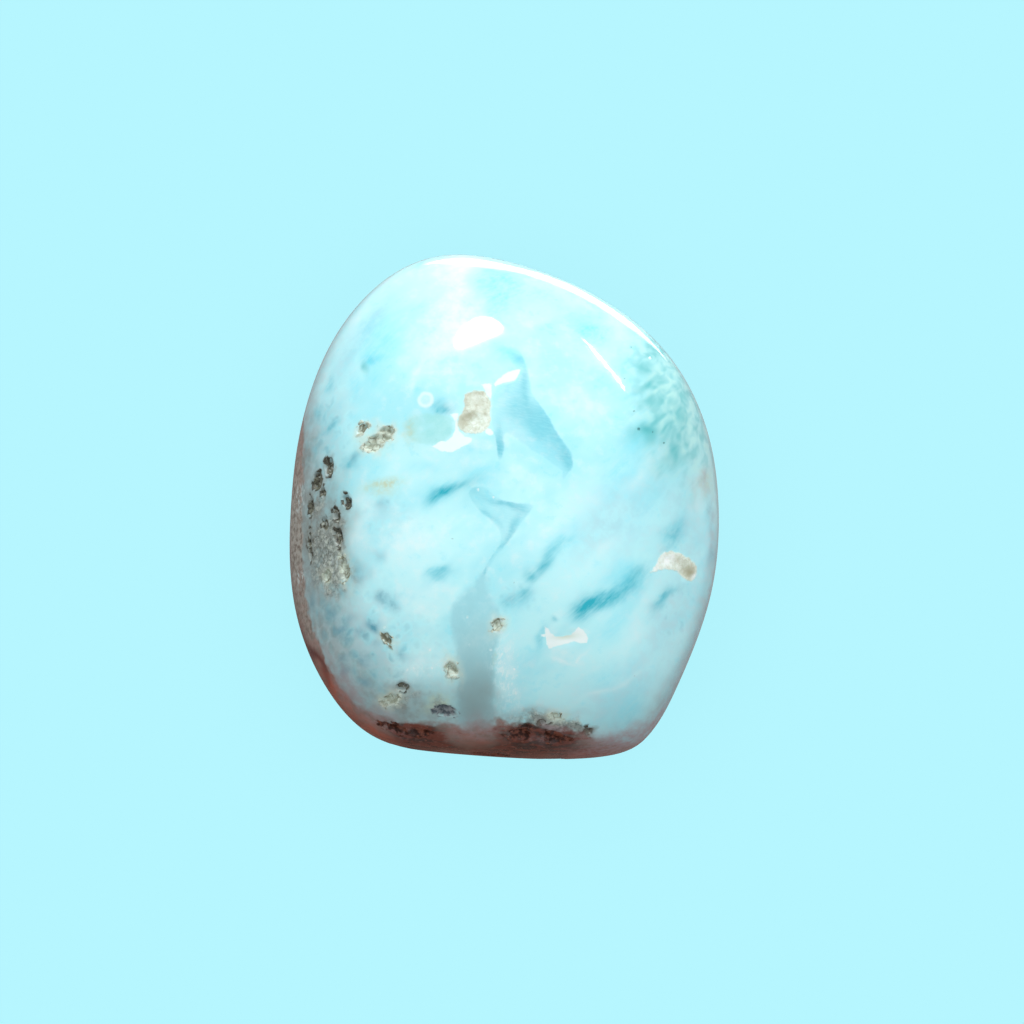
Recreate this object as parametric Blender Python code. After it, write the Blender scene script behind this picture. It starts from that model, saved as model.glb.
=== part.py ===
"""A polished larimar palm stone, lying on its back with its show face up.

The stone is one solid. It rests on the plane z = 0 on a small ground flat, and the middle of its
footprint's box is the origin. X runs to the right across the show face, Y along the stone's length
towards its narrow head, and Z up out of the show face.
"""

import math
import random

import bmesh
import bpy
import numpy as np
from mathutils import Vector
from mathutils.bvhtree import BVHTree

MM = 0.001
UP = Vector((0, 0, 1))

# The girdle is the widest line round the stone, seen from above: azimuth from +X in degrees, radius in mm.
GIRDLE_KNOTS = (
    (0, 23.1),
    (40, 23.9),
    (72, 25.0),
    (90, 26.5),
    (106, 27.8),
    (124, 26.7),
    (150, 23.8),
    (180, 22.6),
    (208, 24.9),
    (228, 27.5),
    (242, 28.7),
    (254, 28.0),
    (268, 27.8),
    (284, 29.2),
    (298, 30.0),
    (312, 27.5),
    (334, 24.6),
)
CROWN_HEIGHT = 12.0  # mm from the girdle up to the top of the show face
KEEL_DEPTH = 11.0  # mm from the girdle down to where the back would reach without its ground flat
CROWN_FULLNESS = 2.28  # exponent of the sections above the girdle: 2 is an ellipse, more is squarer
KEEL_FULLNESS = 2.75
REST_LEVEL = 10.0  # mm from the girdle down to the rest face
REST_ROUNDING = 0.5  # mm of height over which the back runs into the rest face

# Broad swells and hollows of the tumbled stone: azimuth, elevation and spread in degrees, and height in mm.
SWELLS = (
    ("face, upper left", 118, 40, 24, 0.7),
    ("face, lower right", 300, 42, 22, 0.5),
    ("face, left of the middle", 215, 62, 16, -0.35),
    ("right wall, low", 15, -22, 20, 0.5),
    ("left wall, low", 205, -28, 18, 0.6),
    ("foot, above the girdle", 265, 20, 16, 0.3),
    ("head, low", 85, -25, 22, -0.6),
    ("back, off the middle", 60, -62, 26, 0.5),
)

# Soft flats that hand grinding left: azimuth and elevation in degrees, and the cut in mm.
GROUND_FLATS = (
    ("upper right shoulder", 52, 56, 0.8),
    ("left wall", 186, 36, 0.9),
    ("foot wall", 271, 6, 0.8),
    ("right wall", 350, 50, 0.4),
    ("back, left", 150, -45, 0.7),
    ("back, foot", 285, -52, 0.3),
)
FLAT_SOFTNESS = 2.2  # mm over which a flat runs into the round

ROWS = 22  # quads along each edge of the cube that the skin starts from
SKIN_SQUASH = 0.6  # how far the cube's rows crowd towards the girdle, where the stone bends most

# Pits that are seen from above: X and Y of the middle, length, width, the length's turn from +X in
# degrees, and depth. Lengths and widths run along the skin, and all but the turn are in mm.
FACE_PITS = (
    ("small tan hollow", -14.7, 5.9, 1.5, 1.0, 35, 0.45),
    ("large tan hollow", -13.4, 4.3, 2.6, 1.9, 15, 0.55),
    ("large tan hollow, right end", -12.3, 5.1, 1.9, 1.7, -20, 0.5),
    ("middle hollow, upper lobe", -2.6, 8.3, 2.7, 2.4, 60, 0.35),
    ("middle hollow, lower lobe", -3.4, 6.1, 2.8, 2.2, 10, 0.4),
    ("left wall, top", -18.4, 2.3, 2.1, 1.3, 78, 0.6),
    ("left wall, cluster", -19.6, 1.0, 2.2, 1.9, 80, 0.6),
    ("left wall, under the cluster", -19.0, -0.4, 1.4, 1.1, 110, 0.45),
    ("left wall, outer", -20.4, -1.5, 2.0, 1.2, 92, 0.5),
    ("left wall, inner", -16.4, -1.8, 1.5, 1.2, 120, 0.6),
    ("left wall, slanting", -17.5, -3.1, 2.0, 1.1, 108, 0.55),
    ("left wall, middle", -18.8, -3.8, 1.6, 1.3, 90, 0.4),
    ("left wall, long inner", -17.2, -5.3, 2.5, 1.3, 100, 0.55),
    ("left wall, long outer", -20.4, -5.8, 3.4, 0.9, 94, 0.4),
    ("left wall, low inner", -16.6, -8.8, 2.8, 1.1, 104, 0.5),
    ("left wall, low", -18.5, -9.3, 1.5, 1.3, 90, 0.45),
    ("lower left", -12.0, -16.3, 1.6, 1.0, 130, 0.5),
    ("lower left, dark", -10.5, -21.0, 1.5, 1.1, 10, 0.6),
    ("lower left, tan", -11.8, -22.3, 2.0, 1.2, 35, 0.45),
    ("left of the vein", -5.3, -19.4, 2.0, 1.1, 105, 0.5),
    ("glassy pit", -6.3, -23.0, 2.4, 1.9, 5, 0.6),
    ("right of the vein", -0.6, -15.1, 1.5, 1.1, 70, 0.4),
    ("white chip", 6.5, -16.3, 4.2, 1.9, 6, 0.25),
    ("cream hollow, left end", 16.8, -7.7, 2.5, 1.9, -10, 0.3),
    ("cream hollow, right end", 18.9, -8.6, 2.6, 1.9, -35, 0.4),
    ("foot edge, left", -11.4, -24.9, 2.8, 1.4, -12, 0.5),
    ("foot edge, left middle", -8.7, -25.4, 2.4, 1.3, -8, 0.5),
    ("foot edge, middle", 1.6, -25.7, 2.6, 1.7, 8, 0.5),
    ("foot edge, right middle", 5.2, -26.0, 2.8, 1.9, -4, 0.55),
    ("foot edge, light rim", 4.7, -24.1, 2.0, 1.2, 25, 0.4),
    ("foot edge, right", 8.7, -25.5, 1.5, 1.2, 60, 0.45),
)

# Pits that are seen from the side: azimuth in degrees, height of the middle above the rest face, length,
# width, the length's turn up from level in degrees, and depth. All but the turns are in mm.
WALL_PITS = (
    ("foot wall, left", 248, 8.5, 3.0, 1.5, 10, 0.6),
    ("foot wall, middle", 267, 9.5, 3.6, 1.7, -8, 0.6),
    ("foot wall, right", 281, 7.0, 2.6, 1.5, 15, 0.5),
    ("left wall, under the girdle", 187, 8.0, 3.0, 1.3, 20, 0.5),
    ("left wall, back", 204, 7.0, 2.4, 1.4, -15, 0.5),
)
PIT_JITTER = 0.2  # how far a pit's outline wanders from an ellipse, as a share of its size
PIT_SEED = 7


def ring_bends(azimuths, radii):
    """The gaps between knots, and the second derivatives of the closed cubic curve through them."""
    count = len(azimuths)
    gaps = np.diff(azimuths, append=azimuths[0] + 360.0)
    slopes = (np.roll(radii, -1) - radii) / gaps
    system = np.zeros((count, count))
    for i in range(count):
        system[i, i - 1] += gaps[i - 1]
        system[i, i] += 2 * (gaps[i - 1] + gaps[i])
        system[i, (i + 1) % count] += gaps[i]
    return gaps, np.linalg.solve(system, 6 * (slopes - np.roll(slopes, 1)))


def girdle_radius(azimuth):
    """The girdle's radius in mm at each azimuth in degrees."""
    knots, radii = np.array(GIRDLE_KNOTS, float).T
    gaps, bends = ring_bends(knots, radii)
    turn = azimuth % 360.0
    i = np.searchsorted(knots, turn, side="right") - 1
    j = (i + 1) % len(knots)
    b = (turn - knots[i]) / gaps[i]
    a = 1 - b
    bow = (a**3 - a) * bends[i] + (b**3 - b) * bends[j]
    return a * radii[i] + b * radii[j] + bow * gaps[i] ** 2 / 6


def facing_way(azimuth, elevation):
    """The unit direction at an azimuth and an elevation in degrees."""
    turn, tilt = math.radians(azimuth), math.radians(elevation)
    return np.array((math.cos(turn) * math.cos(tilt), math.sin(turn) * math.cos(tilt), math.sin(tilt)))


def pebble_reach(ways):
    """How far in mm the rounded pebble reaches from its middle along each unit direction."""
    level = np.hypot(ways[:, 0], ways[:, 1])
    across = level / girdle_radius(np.degrees(np.arctan2(ways[:, 1], ways[:, 0])))
    up = ways[:, 2] > 0
    tall = np.abs(ways[:, 2]) / np.where(up, CROWN_HEIGHT, KEEL_DEPTH)
    fullness = np.where(up, CROWN_FULLNESS, KEEL_FULLNESS)
    reach = (across**fullness + tall**fullness) ** (-1 / fullness)
    for _, azimuth, elevation, spread, height in SWELLS:
        off = 1 - ways @ facing_way(azimuth, elevation)
        reach += height * np.exp(-off / (1 - math.cos(math.radians(spread))))
    return reach


def soft_least(a, b, softness):
    """The lesser of a and b, rounded where they meet."""
    blend = np.clip(0.5 + 0.5 * (b - a) / softness, 0, 1)
    return b + (a - b) * blend - softness * blend * (1 - blend)


def stone_points(ways):
    """Points in mm on the stone's skin along unit directions from its middle, with z = 0 on the rest face."""
    reach = pebble_reach(ways)
    round_points = ways * reach[:, None]
    for _, azimuth, elevation, cut in GROUND_FLATS:
        facing = facing_way(azimuth, elevation)
        distance = (round_points @ facing).max() - cut
        towards = np.maximum(ways @ facing, 1e-6)
        reach = soft_least(reach, np.minimum(distance / towards, 1000.0), FLAT_SOFTNESS)
    points = ways * reach[:, None]
    over = points[:, 2] + REST_LEVEL
    rounded = (np.clip(over, -REST_ROUNDING, None) + REST_ROUNDING) ** 2 / (4 * REST_ROUNDING)
    points[:, 2] = np.where(over < REST_ROUNDING, rounded, over)
    return points


def skin_ways(mesh):
    """Turns a gridded cube's corners, from -1 to 1, into even unit directions that crowd at the girdle."""
    corners = np.array([v.co for v in mesh.verts])
    ways = np.tan(corners * math.pi / 4)
    ways /= np.linalg.norm(ways, axis=1)[:, None]
    ways[:, 2] *= SKIN_SQUASH
    return ways / np.linalg.norm(ways, axis=1)[:, None]


def linked_object(name, mesh, collection):
    """An object of its own made from a bmesh, which is used up."""
    data = bpy.data.meshes.new(name)
    mesh.to_mesh(data)
    mesh.free()
    data.shade_smooth()
    made = bpy.data.objects.new(name, data)
    collection.objects.link(made)
    return made


def make_stone():
    """The stone without its pits, and the tree that finds places on its skin."""
    mesh = bmesh.new()
    bmesh.ops.create_cube(mesh, size=2)
    bmesh.ops.subdivide_edges(mesh, edges=mesh.edges[:], cuts=ROWS - 1, use_grid_fill=True)
    points = stone_points(skin_ways(mesh))
    middle = (points.max(axis=0) + points.min(axis=0)) / 2
    middle[2] = 0
    for vertex, point in zip(mesh.verts, points - middle):
        vertex.co = Vector(point) * MM
    skin = BVHTree.FromBMesh(mesh)
    return linked_object("palm_stone", mesh, bpy.context.collection), skin


def seat_from_above(skin, x, y, turn):
    """Where a face pit sits: its middle, the skin's normal, and the way its length runs."""
    place, normal, _, _ = skin.ray_cast(Vector((x * MM, y * MM, 1)), -UP)
    heading = Vector((math.cos(math.radians(turn)), math.sin(math.radians(turn)), 0))
    return place, normal, (heading - normal * heading.dot(normal)).normalized()


def seat_from_side(skin, azimuth, height, turn):
    """Where a wall pit sits, in the same three parts."""
    outward = Vector(facing_way(azimuth, 0))
    place, normal, _, _ = skin.ray_cast(outward + UP * height * MM, -outward)
    level = UP.cross(normal).normalized()
    tilt = math.radians(turn)
    return place, normal, level * math.cos(tilt) + normal.cross(level) * math.sin(tilt)


def cut_pit(stone, number, seat, length, width, depth, wander, collection):
    """One pit: an uneven ellipsoid, half sunk in the skin, is taken away from the stone."""
    place, normal, along = seat
    across = normal.cross(along)
    mesh = bmesh.new()
    bmesh.ops.create_icosphere(mesh, subdivisions=2, radius=1)
    for vertex in mesh.verts:
        a, b, c = vertex.co * (1 + PIT_JITTER * wander.uniform(-1, 1))
        vertex.co = place + (along * a * length / 2 + across * b * width / 2 + normal * c * depth) * MM
    cutter = linked_object(f"pit_{number:02d}", mesh, collection)
    cutter.hide_render = True
    cutter.display_type = "WIRE"
    cut = stone.modifiers.new(cutter.name, "BOOLEAN")
    cut.operation = "DIFFERENCE"
    cut.solver = "EXACT"
    cut.object = cutter


def cut_pits(stone, skin):
    cutters = bpy.data.collections.new("pit cutters")
    bpy.context.scene.collection.children.link(cutters)
    wander = random.Random(PIT_SEED)
    seats = [(seat_from_above(skin, x, y, turn), length, width, depth)
             for _, x, y, length, width, turn, depth in FACE_PITS]
    seats += [(seat_from_side(skin, azimuth, height, turn), length, width, depth)
              for _, azimuth, height, length, width, turn, depth in WALL_PITS]
    for number, (seat, length, width, depth) in enumerate(seats, start=1):
        cut_pit(stone, number, seat, length, width, depth, wander, cutters)


def larimar():
    material = bpy.data.materials.new("larimar")
    material.use_nodes = True
    shader = material.node_tree.nodes["Principled BSDF"]
    shader.inputs["Base Color"].default_value = (0.56, 0.86, 0.92, 1)
    shader.inputs["Roughness"].default_value = 0.1
    shader.inputs["Metallic"].default_value = 0
    return material


for old in list(bpy.data.objects):
    bpy.data.objects.remove(old)
palm_stone, palm_stone_skin = make_stone()
palm_stone.data.materials.append(larimar())
cut_pits(palm_stone, palm_stone_skin)
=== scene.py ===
"""The looks of a polished larimar palm stone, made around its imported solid.

Tables hold millimetres and degrees, and the scene is in metres. The stone's skin is worked out from the
same values as the solid, with finer rows. Marks on the show face are placed on the view chart: X to the
right and Y up as the camera sees the stone, in mm from the stone's middle.
"""

import math

import bmesh
import bpy
import numpy as np
from mathutils import Matrix, Vector
from mathutils.bvhtree import BVHTree


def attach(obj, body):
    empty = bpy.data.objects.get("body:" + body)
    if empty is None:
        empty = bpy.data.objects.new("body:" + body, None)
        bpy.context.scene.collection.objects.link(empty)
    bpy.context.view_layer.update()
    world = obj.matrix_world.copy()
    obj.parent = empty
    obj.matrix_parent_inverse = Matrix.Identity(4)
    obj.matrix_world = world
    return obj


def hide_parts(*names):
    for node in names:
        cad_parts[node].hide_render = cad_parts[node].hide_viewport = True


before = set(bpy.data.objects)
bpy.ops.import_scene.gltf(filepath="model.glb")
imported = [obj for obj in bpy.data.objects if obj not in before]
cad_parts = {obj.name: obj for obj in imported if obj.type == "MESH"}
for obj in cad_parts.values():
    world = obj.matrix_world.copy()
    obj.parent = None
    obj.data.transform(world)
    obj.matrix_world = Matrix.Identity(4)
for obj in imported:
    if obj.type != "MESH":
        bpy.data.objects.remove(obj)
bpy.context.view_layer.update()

MM = 0.001
UP = Vector((0, 0, 1))

# The camera looks down on the lying stone from the foot's side, through a long lens.
VIEW_ELEVATION = 78.0  # degrees above the floor
LENS = 100.0  # mm
SENSOR = 36.0  # mm
PHOTO_SIDE = 1024  # pixels
PHOTO_SCALE = 505 / 54  # pixels to a mm of the stone
STONE_MIDDLE = Vector((0, 0, 11))
FRAMING = (0.856, -1.18)  # mm that the camera stands right of and above the stone's middle

# The girdle is the widest line round the stone, seen from above: azimuth from +X in degrees, radius in mm.
GIRDLE_KNOTS = (
    (0, 23.1),
    (40, 23.9),
    (72, 25.0),
    (90, 26.5),
    (106, 27.8),
    (124, 26.7),
    (150, 23.8),
    (180, 22.6),
    (208, 24.9),
    (228, 27.5),
    (242, 28.7),
    (254, 28.0),
    (268, 27.8),
    (284, 29.2),
    (298, 30.0),
    (312, 27.5),
    (334, 24.6),
)
CROWN_HEIGHT = 12.0  # mm from the girdle up to the top of the show face
KEEL_DEPTH = 11.0  # mm from the girdle down to where the back would reach without its ground flat
CROWN_FULLNESS = 2.28  # exponent of the sections above the girdle: 2 is an ellipse, more is squarer
KEEL_FULLNESS = 2.75
REST_LEVEL = 10.0  # mm from the girdle down to the rest face
REST_ROUNDING = 0.5  # mm of height over which the back runs into the rest face

# Broad swells and hollows of the tumbled stone: azimuth, elevation and spread in degrees, and height in mm.
SWELLS = (
    ("face, upper left", 118, 40, 24, 0.7),
    ("face, lower right", 300, 42, 22, 0.5),
    ("face, left of the middle", 215, 62, 16, -0.35),
    ("right wall, low", 15, -22, 20, 0.5),
    ("left wall, low", 205, -28, 18, 0.6),
    ("foot, above the girdle", 265, 20, 16, 0.3),
    ("head, low", 85, -25, 22, -0.6),
    ("back, off the middle", 60, -62, 26, 0.5),
)

# Soft flats that hand grinding left: azimuth and elevation in degrees, and the cut in mm.
GROUND_FLATS = (
    ("upper right shoulder", 52, 56, 0.8),
    ("left wall", 186, 36, 0.9),
    ("foot wall", 271, 6, 0.8),
    ("right wall", 350, 50, 0.4),
    ("back, left", 150, -45, 0.7),
    ("back, foot", 285, -52, 0.3),
)
FLAT_SOFTNESS = 2.2  # mm over which a flat runs into the round
SKIN_SQUASH = 0.6  # how far the cube's rows crowd towards the girdle, where the stone bends most
CUBE_ROWS = 72  # quads along each edge of the cube that the skin starts from
SHOWN_HEIGHT = 12.0  # mm above the rest face from which the skin's grid is twice as fine

# Pits that are seen from above: X and Y of the middle, length, width, the length's turn from +X in
# degrees, depth, and what the pit shows. Lengths and widths run along the skin.
FACE_PITS = (
    ("small tan hollow", -14.7, 5.9, 1.5, 1.0, 35, 0.45, "tan"),
    ("large tan hollow", -13.4, 4.3, 2.6, 1.9, 15, 0.55, "tan"),
    ("large tan hollow, right end", -12.3, 5.1, 1.9, 1.7, -20, 0.5, "tan"),
    ("middle hollow, upper lobe", -2.6, 8.3, 2.7, 2.4, 60, 0.35, "bare"),
    ("middle hollow, lower lobe", -3.4, 6.1, 2.8, 2.2, 10, 0.4, "bare"),
    ("left wall, top", -18.4, 2.3, 2.1, 1.3, 78, 0.6, "dark"),
    ("left wall, cluster", -19.6, 1.0, 2.2, 1.9, 80, 0.6, "dark"),
    ("left wall, under the cluster", -19.0, -0.4, 1.4, 1.1, 110, 0.45, "dark"),
    ("left wall, outer", -20.4, -1.5, 2.0, 1.2, 92, 0.5, "dark"),
    ("left wall, inner", -16.4, -1.8, 1.5, 1.2, 120, 0.6, "dark"),
    ("left wall, slanting", -17.5, -3.1, 2.0, 1.1, 108, 0.55, "dark"),
    ("left wall, middle", -18.8, -3.8, 1.6, 1.3, 90, 0.4, "dark"),
    ("left wall, long inner", -17.2, -5.3, 2.5, 1.3, 100, 0.55, "dark"),
    ("left wall, long outer", -20.4, -5.8, 3.4, 0.9, 94, 0.4, "dark"),
    ("left wall, low inner", -16.6, -8.8, 2.8, 1.1, 104, 0.5, "tan"),
    ("left wall, low", -18.5, -9.3, 1.5, 1.3, 90, 0.45, "tan"),
    ("lower left", -12.0, -16.3, 1.6, 1.0, 130, 0.5, "tan"),
    ("lower left, dark", -10.5, -21.0, 1.5, 1.1, 10, 0.6, "dark"),
    ("lower left, tan", -11.8, -22.3, 2.0, 1.2, 35, 0.45, "tan"),
    ("left of the vein", -5.3, -19.4, 2.0, 1.1, 105, 0.5, "tan"),
    ("glassy pit", -6.2, -23.4, 2.3, 1.4, -8, 0.6, "glass"),
    ("right of the vein", -0.6, -15.1, 1.5, 1.1, 70, 0.4, "tan"),
    ("white chip", 6.5, -16.3, 4.2, 1.9, 6, 0.25, "bare"),
    ("cream hollow, left end", 16.8, -7.7, 2.5, 1.9, -10, 0.3, "bare"),
    ("cream hollow, right end", 18.9, -8.6, 2.6, 1.9, -35, 0.4, "bare"),
    ("foot edge, left", -11.4, -24.9, 2.8, 1.4, -12, 0.5, "rust"),
    ("foot edge, left middle", -8.7, -25.4, 2.4, 1.3, -8, 0.5, "rust"),
    ("foot edge, middle", 1.6, -25.7, 2.6, 1.7, 8, 0.5, "rust"),
    ("foot edge, right middle", 5.2, -26.0, 2.8, 1.9, -4, 0.55, "rust"),
    ("foot edge, light rim", 5.4, -24.0, 1.3, 0.9, 20, 0.35, "tan"),
    ("foot edge, under the light rim", 3.9, -24.6, 1.4, 0.8, 15, 0.4, "dark"),
    ("foot edge, crest", 2.1, -25.0, 1.2, 0.7, 10, 0.35, "dark"),
    ("foot edge, right", 8.7, -25.5, 1.5, 1.2, 60, 0.45, "dark"),
)

# Pits that are seen from the side: azimuth, height of the middle above the rest face, length, width, the
# length's turn up from level, depth, and what the pit shows.
WALL_PITS = (
    ("foot wall, left", 248, 8.5, 3.0, 1.5, 10, 0.6, "rust"),
    ("foot wall, middle", 267, 9.5, 3.6, 1.7, -8, 0.6, "rust"),
    ("foot wall, right", 281, 7.0, 2.6, 1.5, 15, 0.5, "rust"),
    ("left wall, under the girdle", 187, 8.0, 3.0, 1.3, 20, 0.5, "dark"),
    ("left wall, back", 204, 7.0, 2.4, 1.4, -15, 0.5, "dark"),
)
PIT_KINDS = ("tan", "dark", "glass", "rust")
PIT_WANDER = 0.18  # how far a pit's outline wanders from an ellipse, as a share of its size
PIT_WALL = 0.35  # mm along the skin over which a pit's wall goes down
BARE_WALL = 1.2  # mm, the same for the hollows that the polish ran over
BARE_DEPTH = 0.3  # how much of their depth those hollows show

# How high the rusty stain climbs from the back, with painted shade and a painted warm reflection along the rim:
# azimuth and height above the rest face.
STAIN_SHADE_AND_REFLECTION_LEVELS = (
    (0, 8.5),
    (15, 10.0),
    (30, 6.5),
    (45, 5.2),
    (60, 8.0),
    (78, 8.6),
    (100, 6.0),
    (115, 4.8),
    (135, 8.0),
    (152, 11.0),
    (160, 13.2),
    (167, 14.0),
    (176, 14.0),
    (187, 13.8),
    (198, 13.4),
    (208, 13.2),
    (215, 13.6),
    (221, 14.2),
    (227, 14.4),
    (235, 14.4),
    (241, 14.8),
    (246, 15.2),
    (255, 15.7),
    (262, 16.0),
    (269, 16.8),
    (276, 16.6),
    (284, 16.4),
    (288, 15.6),
    (291, 14.2),
    (295, 12.3),
    (299, 10.0),
    (308, 9.5),
    (323, 9.0),
    (345, 8.5),
)

# How high the greyer rim of the show face comes, in the same form: painted shade where the skin turns away from
# the light.
RIM_SHADE_LEVELS = (
    (0, 12.8),
    (30, 12.8),
    (60, 11.5),
    (90, 11.0),
    (110, 12.8),
    (130, 14.2),
    (150, 15.4),
    (165, 16.4),
    (200, 16.8),
    (225, 16.4),
    (250, 17.0),
    (280, 17.5),
    (300, 14.8),
    (320, 13.8),
    (345, 13.4),
)

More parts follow.
